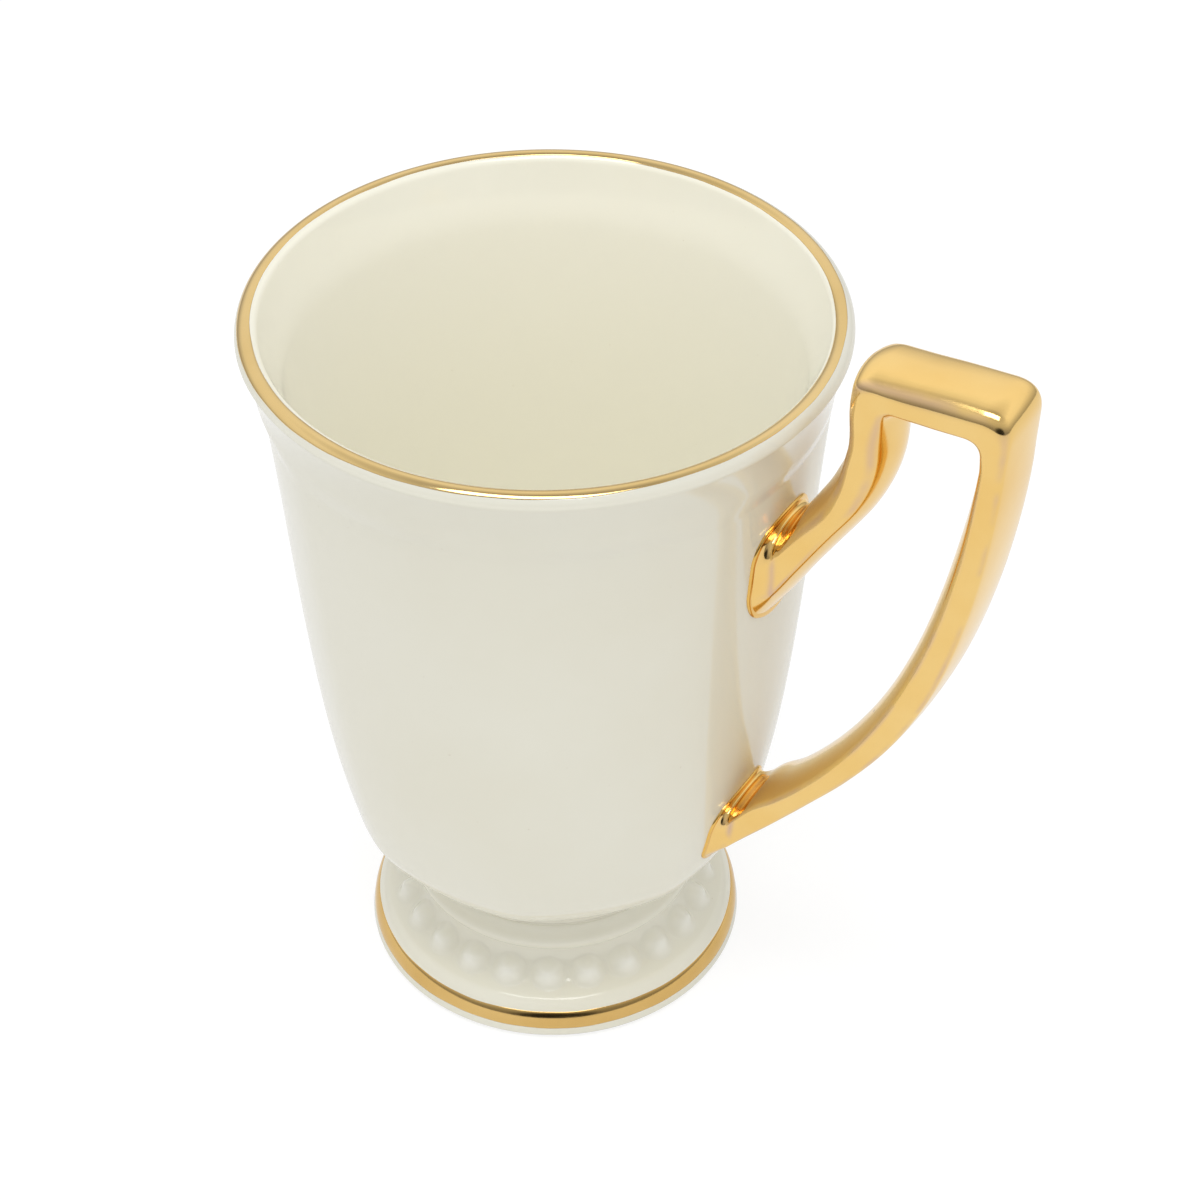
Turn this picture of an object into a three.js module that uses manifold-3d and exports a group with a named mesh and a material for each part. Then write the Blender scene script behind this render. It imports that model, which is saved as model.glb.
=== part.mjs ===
// Footed porcelain tea mug with a gilded strap handle.
// Millimetres, +Z up, the handle reaches along +X and the mug stands on z = 0.

import * as THREE from 'three';
import { mergeVertices } from 'three/addons/utils/BufferGeometryUtils.js';
import Module from 'manifold-3d';

const wasm = await Module();
wasm.setup();

// Overall heights and the lip
const MUG_HEIGHT = 120.5;
const LIP_RADIUS = 43.5;
const LIP_HEIGHT = 10.5;
const LIP_THICKNESS = 3.6;
const LIP_ROUND = 1.2;
const LIP_LEDGE = 0.8;
const LIP_HOLLOW = 0.4;
const LIP_OVERHANG = 0.15;

// Panelled bowl
const PANEL_COUNT = 8;
const PANEL_TOP_RADIUS = 40.6;
const PANEL_FLARE_IN = 2.4;
const PANEL_FLARE_DROP = 25.3;
const PANEL_BOTTOM_RADIUS = 31.6;
const PANEL_BOTTOM_HEIGHT = 29;
const PANEL_BELLY_OUT = 6;
const PANEL_BELLY_RISE = 20.8;
const PANEL_BULGE_OFFSET = 12;
const PANEL_EDGE_ROUND = 2.4;
const BOWL_BASE_RADIUS = 21.6;
const BOWL_BASE_HEIGHT = 18;
const WALL_THICKNESS = 3.2;
const FLOOR_THICKNESS = 4.6;
const FLOOR_RADIUS = 13;
const FLOOR_SWEEP_HEIGHT = 17;
const FLOOR_SWEEP_LEAN = 4.3;

// Pedestal foot
const FOOT_RADIUS = 30.6;
const FOOT_EDGE_HEIGHT = 1;
const FOOT_EDGE_CHAMFER = 0.7;
const FOOT_RIM_RADIUS = 28;
const FOOT_RIM_HEIGHT = 6.7;
const FOOT_RIM_ROUND = 1.3;
const FOOT_RIM_ROUND_ANGLE = 110;
const FOOT_TOP_RADIUS = 21.4;
const COLLAR_RADIUS = 23.7;
const COLLAR_HEIGHT = 3.4;
const COLLAR_FOOT_RADIUS = 22.2;
const FOOT_RING_WIDTH = 2.7;
const FOOT_RING_HEIGHT = 2.4;
const FOOT_RECESS_STEP_RADIUS = 19.5;
const FOOT_RECESS_RISE = 0.6;
const FOOT_BORE_RADIUS = 15.6;
const FOOT_BORE_CHAMFER = 1.6;
const FOOT_TOP_THICKNESS = 4;

// Beads round the foot
const BEAD_COUNT = 24;
const BEAD_DIAMETER = 4.6;
const BEAD_CIRCLE_RADIUS = 24.5;
const BEAD_HEIGHT = 9.2;
const BEAD_SEAT_INNER_ANGLE = 100;
const BEAD_SEAT_OUTER_ANGLE = 292;

// Gilded lines on the lip and the foot
const GILDING_THICKNESS = 0.3;
const GILDING_PROUD = 0.05;
const RIM_LINE_WIDTH = 1.9;
const RIM_LINE_FROM_EDGE = 0.5;
const FOOT_LINE_WIDTH = 2.8;
const FOOT_LINE_FROM_EDGE = 1.2;

// Strap handle: places across are from the mug's axis and the ends' heights from the table.
// The post bends above its end, and the bar's top and the leg's bend lie above the post's bend.
const STRAP_WIDTH = 11.6;
const STRAP_ROUND = 1.7;
const BAR_TOP_HEIGHT = 11.8;
const BAR_RISE = 1.1;
const BAR_THICKNESS = 5.3;
const POST_CENTRE = 53.1;
const POST_THICKNESS = 5.2;
const POST_BEND_HEIGHT = 27.8;
const POST_BEND_RUN = 10.3;
const LEG_CENTRE = 71.1;
const LEG_THICKNESS = 4.4;
const LEG_BEND_HEIGHT = 3;
const LEG_BEND_RUN = 14;
const INNER_TOP_CORNER = 4;
const OUTER_TOP_CORNER = 3;
const INNER_GAP_CORNER = 1.6;
const OUTER_GAP_CORNER = 2;
const UPPER_END_HEIGHT = 92.1;
const UPPER_END_ANGLE = 56.5;
const UPPER_END_RUN = 14.5;
const UPPER_END_THICKNESS = 6.8;
const UPPER_MIDDLE_THICKNESS = 6.2;
const LOWER_END_HEIGHT = 40.6;
const LOWER_END_ANGLE = 37.8;
const LOWER_END_RUN = 39.8;
const LOWER_END_THICKNESS = 4.8;
const LOWER_MIDDLE_THICKNESS = 6.2;

// Flared ends of the strap at the wall
const END_CORNER = 2;
const END_BURY = 2.5;
const UPPER_FLARE_WIDTH = 1.6;
const UPPER_FLARE_ABOVE = 2.6;
const UPPER_FLARE_BELOW = 0.4;
const UPPER_FLARE_DEPTH = 2.6;
const LOWER_FLARE_WIDTH = 1.7;
const LOWER_FLARE_ABOVE = 2.4;
const LOWER_FLARE_BELOW = 2.2;
const LOWER_FLARE_DEPTH = 3.2;
const FLARE_TUCK = 0.06;

// Joints of slip between the pieces, and clearances
const HANDLE_JOINT_THICKNESS = 0.9;
const HANDLE_JOINT_MARGIN = 0.3;
const FOOT_JOINT_THICKNESS = 0.8;
const FOOT_JOINT_INSET = 0.4;
const FOOT_JOINT_BORE = 12;
const JOINT_GAP = 0.2;
const BEAD_GAP = 0.25;
const GILDING_GAP = 0.15;

// Fineness of the curved faces
const ROUND_SEGMENTS = 64;
const PANEL_ROWS = 9;
const SWEEP_ROWS = 5;
const ARC_STEPS = 3;
const SEAT_STEPS = 7;
const STRAP_ROWS = 12;
const STRAP_ROUND_STEPS = 3;
const FLARE_STEPS = 7;
const BEAD_COLUMNS = 10;
const BEAD_ROWS = 6;
const WELD_DISTANCE = 1e-4;
const HEIGHT_SEARCH_STEPS = 40;

const porcelain = new THREE.MeshStandardMaterial({ color: 0xe2ddcd, roughness: 0.16, metalness: 0 });
const bead_porcelain = new THREE.MeshStandardMaterial({ color: 0xe6e1d2, roughness: 0.16, metalness: 0 });
const slip = new THREE.MeshStandardMaterial({ color: 0xd9d2bd, roughness: 0.3, metalness: 0 });
const handle_gold = new THREE.MeshStandardMaterial({ color: 0xe9bf6c, roughness: 0.2, metalness: 1 });
const joint_gold = new THREE.MeshStandardMaterial({ color: 0xd9a24a, roughness: 0.24, metalness: 1 });
const line_gold = new THREE.MeshStandardMaterial({ color: 0xdcae5c, roughness: 0.22, metalness: 1 });

const point = (r, z) => new THREE.Vector2(r, z);

// A welded solid without the empty triangles that a lathe leaves on its axis.
function solid(geometry) {
  geometry.deleteAttribute('normal');
  geometry.deleteAttribute('uv');
  const welded = mergeVertices(geometry, WELD_DISTANCE);
  const kept = [];
  for (let i = 0; i < welded.index.count; i += 3) {
    const a = welded.index.getX(i);
    const b = welded.index.getX(i + 1);
    const c = welded.index.getX(i + 2);
    if (a !== b && b !== c && c !== a) kept.push(a, b, c);
  }
  const mesh = new wasm.Mesh({
    numProp: 3,
    vertProperties: new Float32Array(welded.attributes.position.array),
    triVerts: new Uint32Array(kept),
  });
  return new wasm.Manifold(mesh);
}

function meshOf(name, body, material) {
  const data = body.getMesh();
  const geometry = new THREE.BufferGeometry();
  geometry.setAttribute('position', new THREE.BufferAttribute(new Float32Array(data.vertProperties), data.numProp));
  geometry.setIndex(new THREE.BufferAttribute(new Uint32Array(data.triVerts), 1));
  geometry.computeVertexNormals();
  const mesh = new THREE.Mesh(geometry, material);
  mesh.name = name;
  return mesh;
}

// A solid of revolution about the mug's axis from an outline that runs upwards on its outside.
function turned(outline) {
  const geometry = new THREE.LatheGeometry(outline, ROUND_SEGMENTS);
  geometry.rotateX(Math.PI / 2);
  return geometry;
}

function arc(centre, radius, from, to, steps) {
  const points = [];
  for (let i = 0; i <= steps; i++) {
    const angle = THREE.MathUtils.degToRad(from + ((to - from) * i) / steps);
    points.push(point(centre.x + radius * Math.cos(angle), centre.y + radius * Math.sin(angle)));
  }
  return points;
}

// The bowl: one profile at the middle of a panel, used for the outside, the inside and the handle's seats.
const panel_top = MUG_HEIGHT - LIP_HEIGHT;
const panel_curve = new THREE.CubicBezierCurve(
  point(PANEL_BOTTOM_RADIUS, PANEL_BOTTOM_HEIGHT),
  point(PANEL_BOTTOM_RADIUS + PANEL_BELLY_OUT, PANEL_BOTTOM_HEIGHT + PANEL_BELLY_RISE),
  point(PANEL_TOP_RADIUS - PANEL_FLARE_IN, panel_top - PANEL_FLARE_DROP),
  point(PANEL_TOP_RADIUS, panel_top),
);

function wallRadius(height) {
  let low = 0;
  let high = 1;
  for (let i = 0; i < HEIGHT_SEARCH_STEPS; i++) {
    const middle = (low + high) / 2;
    if (panel_curve.getPoint(middle).y < height) low = middle;
    else high = middle;
  }
  return panel_curve.getPoint(low).x;
}

const bottom_edge = point(PANEL_BOTTOM_RADIUS, PANEL_BOTTOM_HEIGHT);
const base_edge = point(BOWL_BASE_RADIUS, BOWL_BASE_HEIGHT);
const underside = bottom_edge.clone().sub(base_edge).normalize();
const rising = panel_curve.getTangent(0);
const edge_round = new THREE.QuadraticBezierCurve(
  bottom_edge.clone().addScaledVector(underside, -PANEL_EDGE_ROUND),
  bottom_edge,
  bottom_edge.clone().addScaledVector(rising, PANEL_EDGE_ROUND),
);

// One panel is part of a wide round body whose axis lies behind the mug's, so the panel is gently bulged.
function panelBody(index, growth) {
  const wide = PANEL_BULGE_OFFSET + growth;
  const outline = [point(0, BOWL_BASE_HEIGHT), point(BOWL_BASE_RADIUS + wide, BOWL_BASE_HEIGHT)];
  for (const p of edge_round.getPoints(ARC_STEPS)) outline.push(point(p.x + wide, p.y));
  for (const p of panel_curve.getPoints(PANEL_ROWS).slice(1)) {
    if (p.y > bottom_edge.y + PANEL_EDGE_ROUND * rising.y) outline.push(point(p.x + wide, p.y));
  }
  outline.push(point(0, panel_top));
  const geometry = turned(outline);
  geometry.translate(-PANEL_BULGE_OFFSET, 0, 0);
  geometry.rotateZ((index * 2 * Math.PI) / PANEL_COUNT);
  return solid(geometry);
}

let panels = panelBody(0, 0);
for (let i = 1; i < PANEL_COUNT; i++) panels = panels.intersect(panelBody(i, 0));

// The round lip stands on the panels, with a shallow seat for its gilded line.
const half_panel = Math.PI / PANEL_COUNT;
const panel_arc = PANEL_TOP_RADIUS + PANEL_BULGE_OFFSET;
const corner_shift = PANEL_BULGE_OFFSET * Math.sin(half_panel);
const panel_corner_radius = Math.sqrt(panel_arc ** 2 - corner_shift ** 2) - PANEL_BULGE_OFFSET * Math.cos(half_panel);
const rim_line_outer = LIP_RADIUS - RIM_LINE_FROM_EDGE;
const rim_line_inner = rim_line_outer - RIM_LINE_WIDTH;
const rim_seat_depth = GILDING_THICKNESS + GILDING_GAP - GILDING_PROUD;
const lip_inner = LIP_RADIUS - LIP_THICKNESS;
const lip_foot = point(panel_corner_radius + LIP_OVERHANG, panel_top);
const lip_edge = point(LIP_RADIUS, MUG_HEIGHT - LIP_ROUND);
const lip_middle = lip_foot.clone().add(lip_edge).divideScalar(2);
const lip_flare = new THREE.QuadraticBezierCurve(lip_foot, point(lip_middle.x - 2 * LIP_HOLLOW, lip_middle.y), lip_edge);
const lip_outline = [
  point(0, panel_top - LIP_LEDGE),
  point(lip_foot.x - LIP_LEDGE, panel_top - LIP_LEDGE),
  ...lip_flare.getPoints(ARC_STEPS).slice(0, -1),
  ...arc(point(LIP_RADIUS - LIP_ROUND, MUG_HEIGHT - LIP_ROUND), LIP_ROUND, 0, 90, ARC_STEPS),
  point(0, MUG_HEIGHT),
];
const rim_seat_outline = [
  point(rim_line_inner - GILDING_GAP, MUG_HEIGHT - rim_seat_depth),
  point(rim_line_outer + GILDING_GAP, MUG_HEIGHT - rim_seat_depth),
  point(rim_line_outer + GILDING_GAP, MUG_HEIGHT + LIP_ROUND),
  point(rim_line_inner - GILDING_GAP, MUG_HEIGHT + LIP_ROUND),
  point(rim_line_inner - GILDING_GAP, MUG_HEIGHT - rim_seat_depth),
];

// The round inside: a swept floor, the wall at its even thickness and the softened inner edge of the lip.
const floor_height = BOWL_BASE_HEIGHT + FLOOR_THICKNESS;
const sweep_top = floor_height + FLOOR_SWEEP_HEIGHT;
const inside_sweep = new THREE.QuadraticBezierCurve(
  point(FLOOR_RADIUS, floor_height),
  point(wallRadius(sweep_top) - WALL_THICKNESS - FLOOR_SWEEP_LEAN, floor_height),
  point(wallRadius(sweep_top) - WALL_THICKNESS, sweep_top),
);
const wall_top = point(PANEL_TOP_RADIUS - WALL_THICKNESS, panel_top);
const wall_top_run = panel_curve.getTangent(1);
const inside_lip = new THREE.QuadraticBezierCurve(
  wall_top,
  wall_top.clone().addScaledVector(wall_top_run, (LIP_HEIGHT - LIP_ROUND) / 2 / wall_top_run.y),
  point(lip_inner, MUG_HEIGHT - LIP_ROUND),
);
const inside_outline = [point(0, floor_height), ...inside_sweep.getPoints(SWEEP_ROWS)];
for (let i = 1; i < PANEL_ROWS; i++) {
  const height = THREE.MathUtils.lerp(sweep_top, panel_top, i / PANEL_ROWS);
  inside_outline.push(point(wallRadius(height) - WALL_THICKNESS, height));
}
inside_outline.push(...inside_lip.getPoints(ARC_STEPS).slice(0, -1));
inside_outline.push(...arc(point(lip_inner + LIP_ROUND, MUG_HEIGHT - LIP_ROUND), LIP_ROUND, 180, 90, ARC_STEPS));
inside_outline.push(point(lip_inner + LIP_ROUND, MUG_HEIGHT + LIP_ROUND));
inside_outline.push(point(0, MUG_HEIGHT + LIP_ROUND));

const bowl = panels
  .add(solid(turned(lip_outline)))
  .subtract(solid(turned(inside_outline)))
  .subtract(solid(turned(rim_seat_outline)));

const rim_line = [
  point(rim_line_inner, MUG_HEIGHT + GILDING_PROUD - GILDING_THICKNESS),
  point(rim_line_outer, MUG_HEIGHT + GILDING_PROUD - GILDING_THICKNESS),
  point(rim_line_outer, MUG_HEIGHT + GILDING_PROUD),
  point(rim_line_inner, MUG_HEIGHT + GILDING_PROUD),
  point(rim_line_inner, MUG_HEIGHT + GILDING_PROUD - GILDING_THICKNESS),
];

// The pedestal foot, joined to the bowl by a ring of slip.
const foot_joint_top = BOWL_BASE_HEIGHT - JOINT_GAP;
const foot_joint_bottom = foot_joint_top - FOOT_JOINT_THICKNESS;
const foot_top = foot_joint_bottom - JOINT_GAP;
const bead_centre = point(BEAD_CIRCLE_RADIUS, BEAD_HEIGHT);
const seat_radius = BEAD_DIAMETER / 2 + BEAD_GAP;
const collar_curve = new THREE.QuadraticBezierCurve(
  point(FOOT_TOP_RADIUS, foot_top),
  point(2 * COLLAR_RADIUS - FOOT_TOP_RADIUS, foot_top - COLLAR_HEIGHT / 2),
  point(COLLAR_FOOT_RADIUS, foot_top - COLLAR_HEIGHT),
);
const rim_centre = point(FOOT_RIM_RADIUS, FOOT_RIM_HEIGHT - FOOT_RIM_ROUND);
const slope_top = point(FOOT_RIM_RADIUS + FOOT_RIM_ROUND, FOOT_RIM_HEIGHT - FOOT_RIM_ROUND);
const slope_bottom = point(FOOT_RADIUS, FOOT_EDGE_HEIGHT);
const slope_run = slope_top.clone().sub(slope_bottom).normalize();
const slope_out = point(slope_run.y, -slope_run.x);
const ring_outer = FOOT_RADIUS - FOOT_EDGE_CHAMFER;
const ring_inner = ring_outer - FOOT_RING_WIDTH;
const recess_top = foot_top - FOOT_TOP_THICKNESS;
const foot_outline = [
  point(0, recess_top),
  point(FOOT_BORE_RADIUS - FOOT_BORE_CHAMFER, recess_top),
  point(FOOT_BORE_RADIUS, recess_top - FOOT_BORE_CHAMFER),
  point(FOOT_RECESS_STEP_RADIUS - FOOT_BORE_CHAMFER, FOOT_RING_HEIGHT + FOOT_RECESS_RISE + FOOT_BORE_CHAMFER),
  point(FOOT_RECESS_STEP_RADIUS, FOOT_RING_HEIGHT + FOOT_RECESS_RISE),
  point(ring_inner - FOOT_EDGE_CHAMFER, FOOT_RING_HEIGHT),
  point(ring_inner, 0),
  point(ring_outer, 0),
  slope_bottom,
  slope_top,
  ...arc(rim_centre, FOOT_RIM_ROUND, 0, FOOT_RIM_ROUND_ANGLE, ARC_STEPS).slice(1),
  ...arc(bead_centre, seat_radius, BEAD_SEAT_OUTER_ANGLE, BEAD_SEAT_INNER_ANGLE, SEAT_STEPS),
  ...collar_curve.getPoints(ARC_STEPS).reverse(),
  point(0, foot_top),
];

// The foot's gilded line lies on the slope between its edge and its rounded rim.
function onSlope(along, out) {
  return slope_bottom.clone().addScaledVector(slope_run, along).addScaledVector(slope_out, out);
}

function slopeRing(from, to, inner, outer) {
  return [onSlope(from, inner), onSlope(from, outer), onSlope(to, outer), onSlope(to, inner), onSlope(from, inner)];
}

const foot_line_end = FOOT_LINE_FROM_EDGE + FOOT_LINE_WIDTH;
const foot_line_inner = GILDING_PROUD - GILDING_THICKNESS;
const foot_seat = slopeRing(
  FOOT_LINE_FROM_EDGE - GILDING_GAP,
  foot_line_end + GILDING_GAP,
  foot_line_inner - GILDING_GAP,
  FOOT_RIM_ROUND,
);
const foot_line = slopeRing(FOOT_LINE_FROM_EDGE, foot_line_end, foot_line_inner, GILDING_PROUD);
const foot = solid(turned(foot_outline)).subtract(solid(turned(foot_seat)));

const foot_joint_outer = FOOT_TOP_RADIUS - FOOT_JOINT_INSET;
const foot_joint = [
  point(FOOT_JOINT_BORE, foot_joint_bottom),
  point(foot_joint_outer, foot_joint_bottom),
  point(foot_joint_outer, foot_joint_top),
  point(FOOT_JOINT_BORE, foot_joint_top),
  point(FOOT_JOINT_BORE, foot_joint_bottom),
];

// The strap handle lies in the plane through the axis and the middle of one panel.
function endCurve(height, angle, run, bend_x, bend_height, bend_run) {
  const direction = point(Math.cos(THREE.MathUtils.degToRad(angle)), Math.sin(THREE.MathUtils.degToRad(angle)));
  const wall = point(wallRadius(height), height);
  const curve = new THREE.CubicBezierCurve(
    wall,
    wall.clone().addScaledVector(direction, run),
    point(bend_x, bend_height - bend_run),
    point(bend_x, bend_height),
  );
  return { direction, wall, curve };
}

const post_bend = UPPER_END_HEIGHT + POST_BEND_HEIGHT;
const leg_bend = post_bend + LEG_BEND_HEIGHT;
const upper = endCurve(UPPER_END_HEIGHT, UPPER_END_ANGLE, UPPER_END_RUN, POST_CENTRE, post_bend, POST_BEND_RUN);
const lower = endCurve(LOWER_END_HEIGHT, LOWER_END_ANGLE, LOWER_END_RUN, LEG_CENTRE, leg_bend, LEG_BEND_RUN);

const upper_thickness = [UPPER_END_THICKNESS, UPPER_MIDDLE_THICKNESS, POST_THICKNESS];
const lower_thickness = [LOWER_END_THICKNESS, LOWER_MIDDLE_THICKNESS, LEG_THICKNESS];

// Points beside a curve on its left (side 1) or right (side -1), from inside the wall to the bend.
function besideCurve(end, [wall_thickness, middle_thickness, bend_thickness], side) {
  const points = [];
  const start_normal = point(-end.direction.y, end.direction.x);
  const buried = end.wall.clone().addScaledVector(end.direction, -END_BURY);
  points.push(buried.addScaledVector(start_normal, (side * wall_thickness) / 2));
  for (let i = 0; i <= STRAP_ROWS; i++) {
    const t = i / STRAP_ROWS;
    const tangent = end.curve.getTangent(t);
    const from_wall = THREE.MathUtils.lerp(wall_thickness, middle_thickness, t);
    const to_bend = THREE.MathUtils.lerp(middle_thickness, bend_thickness, t);
    const half = THREE.MathUtils.lerp(from_wall, to_bend, t) / 2;
    points.push(end.curve.getPoint(t).addScaledVector(point(-tangent.y, tangent.x), side * half));
  }
  return points;
}

function cornerArc(corner, from, to, radius) {
  const before = corner.clone().addScaledVector(from, radius);
  const after = corner.clone().addScaledVector(to, radius);
  return new THREE.QuadraticBezierCurve(before, corner, after).getPoints(ARC_STEPS);
}

const post_inner = POST_CENTRE - POST_THICKNESS / 2;
const post_outer = POST_CENTRE + POST_THICKNESS / 2;
const leg_inner = LEG_CENTRE - LEG_THICKNESS / 2;
const leg_outer = LEG_CENTRE + LEG_THICKNESS / 2;
const bar_run = leg_outer - post_inner;
const along_bar = point(bar_run, BAR_RISE).normalize();
const back_along_bar = along_bar.clone().negate();
const down = point(0, -1);

function barHeight(x) {
  return post_bend + BAR_TOP_HEIGHT + (BAR_RISE * (x - post_inner)) / bar_run;
}

const strap_outline = [
  ...besideCurve(lower, lower_thickness, -1),
  ...cornerArc(point(leg_outer, barHeight(leg_outer)), down, back_along_bar, OUTER_TOP_CORNER),
  ...cornerArc(point(post_inner, barHeight(post_inner)), along_bar, down, INNER_TOP_CORNER),
  ...besideCurve(upper, upper_thickness, 1).reverse(),
  ...besideCurve(upper, upper_thickness, -1),
  ...cornerArc(point(post_outer, barHeight(post_outer) - BAR_THICKNESS), down, along_bar, INNER_GAP_CORNER),
  ...cornerArc(point(leg_inner, barHeight(leg_inner) - BAR_THICKNESS), back_along_bar, down, OUTER_GAP_CORNER),
  ...besideCurve(lower, lower_thickness, 1).reverse(),
];

const strap_geometry = new THREE.ExtrudeGeometry(new THREE.Shape(strap_outline), {
  depth: STRAP_WIDTH - 2 * STRAP_ROUND,
  bevelEnabled: true,
  bevelThickness: STRAP_ROUND,
  bevelSize: STRAP_ROUND,
  bevelOffset: -STRAP_ROUND,
  bevelSegments: STRAP_ROUND_STEPS,
  curveSegments: 1,
});
strap_geometry.translate(0, 0, STRAP_ROUND - STRAP_WIDTH / 2);
strap_geometry.rotateX(Math.PI / 2);

// A flared end follows the strap's slope and widens in a hollow curve towards the wall.
function flaredEnd(end, thickness, flare, margin) {
  const half_width = STRAP_WIDTH / 2 - FLARE_TUCK;
  const half_height = thickness / 2 / end.direction.x - FLARE_TUCK;
  const section = new THREE.Shape();
  section.moveTo(-half_width + END_CORNER, -half_height);
  section.lineTo(half_width - END_CORNER, -half_height);
  section.quadraticCurveTo(half_width, -half_height, half_width, -half_height + END_CORNER);
  section.lineTo(half_width, half_height - END_CORNER);
  section.quadraticCurveTo(half_width, half_height, half_width - END_CORNER, half_height);
  section.lineTo(-half_width + END_CORNER, half_height);
  section.quadraticCurveTo(-half_width, half_height, -half_width, half_height - END_CORNER);
  section.lineTo(-half_width, -half_height + END_CORNER);
  section.quadraticCurveTo(-half_width, -half_height, -half_width + END_CORNER, -half_height);
  const reach = END_BURY + flare.depth;
  const geometry = new THREE.ExtrudeGeometry(section, {
    depth: reach,
    steps: FLARE_STEPS,
    bevelEnabled: false,
    curveSegments: ARC_STEPS,
  });
  const place = geometry.attributes.position;
  for (let i = 0; i < place.count; i++) {
    const clear = Math.max(place.getZ(i) - END_BURY, 0) / flare.depth;
    const widen = 1 - Math.sqrt(1 - (1 - clear) ** 2);
    const tall = place.getY(i) > 0 ? flare.above : flare.below;
    const across = place.getX(i) * (1 + (widen * flare.width + margin) / half_width);
    const up = place.getY(i) * (1 + (widen * tall + margin) / half_height);
    const out = place.getZ(i) - END_BURY;
    const slope = end.direction.y / end.direction.x;
    place.setXYZ(i, end.wall.x + out, across, end.wall.y + up + out * slope);
  }
  return solid(geometry);
}

const upper_flare = {
  width: UPPER_FLARE_WIDTH,
  above: UPPER_FLARE_ABOVE,
  below: UPPER_FLARE_BELOW,
  depth: UPPER_FLARE_DEPTH,
};
const lower_flare = {
  width: LOWER_FLARE_WIDTH,
  above: LOWER_FLARE_ABOVE,
  below: LOWER_FLARE_BELOW,
  depth: LOWER_FLARE_DEPTH,
};

function upperEnd(margin) {
  return flaredEnd(upper, UPPER_END_THICKNESS, upper_flare, margin);
}

function lowerEnd(margin) {
  return flaredEnd(lower, LOWER_END_THICKNESS, lower_flare, margin);
}

const joint_inside = panelBody(0, JOINT_GAP);
const joint_outside = panelBody(0, JOINT_GAP + HANDLE_JOINT_THICKNESS);
const handle_seat = panelBody(0, 2 * JOINT_GAP + HANDLE_JOINT_THICKNESS);
const handle = solid(strap_geometry).add(upperEnd(0)).add(lowerEnd(0)).subtract(handle_seat);
const upper_joint = upperEnd(HANDLE_JOINT_MARGIN).intersect(joint_outside).subtract(joint_inside);
const lower_joint = lowerEnd(HANDLE_JOINT_MARGIN).intersect(joint_outside).subtract(joint_inside);

// The mug, shifted along X so that the middle of its whole outline stands on the origin.
const mug = new THREE.Group();
mug.position.x = (LIP_RADIUS - leg_outer) / 2;

mug.add(meshOf('bowl', bowl, porcelain));
mug.add(meshOf('pedestal_foot', foot, porcelain));
mug.add(meshOf('foot_joint', solid(turned(foot_joint)), slip));
mug.add(meshOf('handle', handle, handle_gold));
mug.add(meshOf('handle_joint_upper', upper_joint, joint_gold));
mug.add(meshOf('handle_joint_lower', lower_joint, joint_gold));
mug.add(meshOf('rim_gilding', solid(turned(rim_line)), line_gold));
mug.add(meshOf('foot_gilding', solid(turned(foot_line)), line_gold));

for (let i = 0; i < BEAD_COUNT; i++) {
  const angle = (i * 2 * Math.PI) / BEAD_COUNT;
  const ball = solid(new THREE.SphereGeometry(BEAD_DIAMETER / 2, BEAD_COLUMNS, BEAD_ROWS));
  const bead = meshOf(`bead_${String(i + 1).padStart(2, '0')}`, ball, bead_porcelain);
  bead.position.set(BEAD_CIRCLE_RADIUS * Math.cos(angle), BEAD_CIRCLE_RADIUS * Math.sin(angle), BEAD_HEIGHT);
  bead.rotation.z = angle;
  mug.add(bead);
}

const assembly = new THREE.Group();
assembly.add(mug);

export default assembly;
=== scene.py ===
"""Footed porcelain tea mug with a gilded strap handle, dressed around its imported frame.

Shapes are written in millimetres from the mug's own axis, with +Z up and the handle along +X.
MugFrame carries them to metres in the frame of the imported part.
"""

import logging
import math
from collections.abc import Sequence
from dataclasses import dataclass, field, fields
from enum import Enum
from functools import cache

import bmesh
import bpy
import numpy as np
from mathutils import Matrix, Vector


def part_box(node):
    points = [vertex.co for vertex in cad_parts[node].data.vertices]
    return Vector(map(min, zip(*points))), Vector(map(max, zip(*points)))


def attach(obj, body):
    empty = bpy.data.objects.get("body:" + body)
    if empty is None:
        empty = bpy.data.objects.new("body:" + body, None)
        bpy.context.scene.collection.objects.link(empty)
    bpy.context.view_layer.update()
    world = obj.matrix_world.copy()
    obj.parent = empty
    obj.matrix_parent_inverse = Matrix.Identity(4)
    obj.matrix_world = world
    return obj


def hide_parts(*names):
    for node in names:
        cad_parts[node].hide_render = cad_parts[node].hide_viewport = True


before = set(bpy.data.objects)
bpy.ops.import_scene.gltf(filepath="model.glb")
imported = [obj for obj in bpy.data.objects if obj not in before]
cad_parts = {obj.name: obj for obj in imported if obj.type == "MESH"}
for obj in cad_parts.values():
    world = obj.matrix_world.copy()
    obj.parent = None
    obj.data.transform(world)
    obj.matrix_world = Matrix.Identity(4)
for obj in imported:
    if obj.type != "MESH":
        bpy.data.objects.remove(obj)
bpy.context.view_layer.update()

Socket = bpy.types.NodeSocket
Colour = tuple[float, float, float]
Corner = tuple[float, float, float]
Wave = tuple[int, float, float]
Pair = tuple[float, float]

MM = 0.001
BODY = "root"
# Painted light and shade held on a piece's points: above 0 a paler tone inside the bowl and on the bead
# tops, or a dark mauve painted reflection on the strap's ridges and folds; below 0 painted shade on the
# lip's outer edge.
PAINTED_LIGHT_ATTRIBUTE = "marks"
WHITE: Colour = (1.0, 1.0, 1.0)
LOG = logging.getLogger("tea_mug")


class Ends(Enum):
    """How a stack of rings is closed."""

    CAPPED = "capped"
    JOINED = "joined"


class Side(Enum):
    """The two sides of the strap, seen in the handle's own plane."""

    OUTER = -1
    INNER = 1


def unit(vectors: np.ndarray) -> np.ndarray:
    """Scale vectors, held along the last axis, to a length of 1."""
    return vectors / np.linalg.norm(vectors, axis=-1, keepdims=True)


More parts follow.
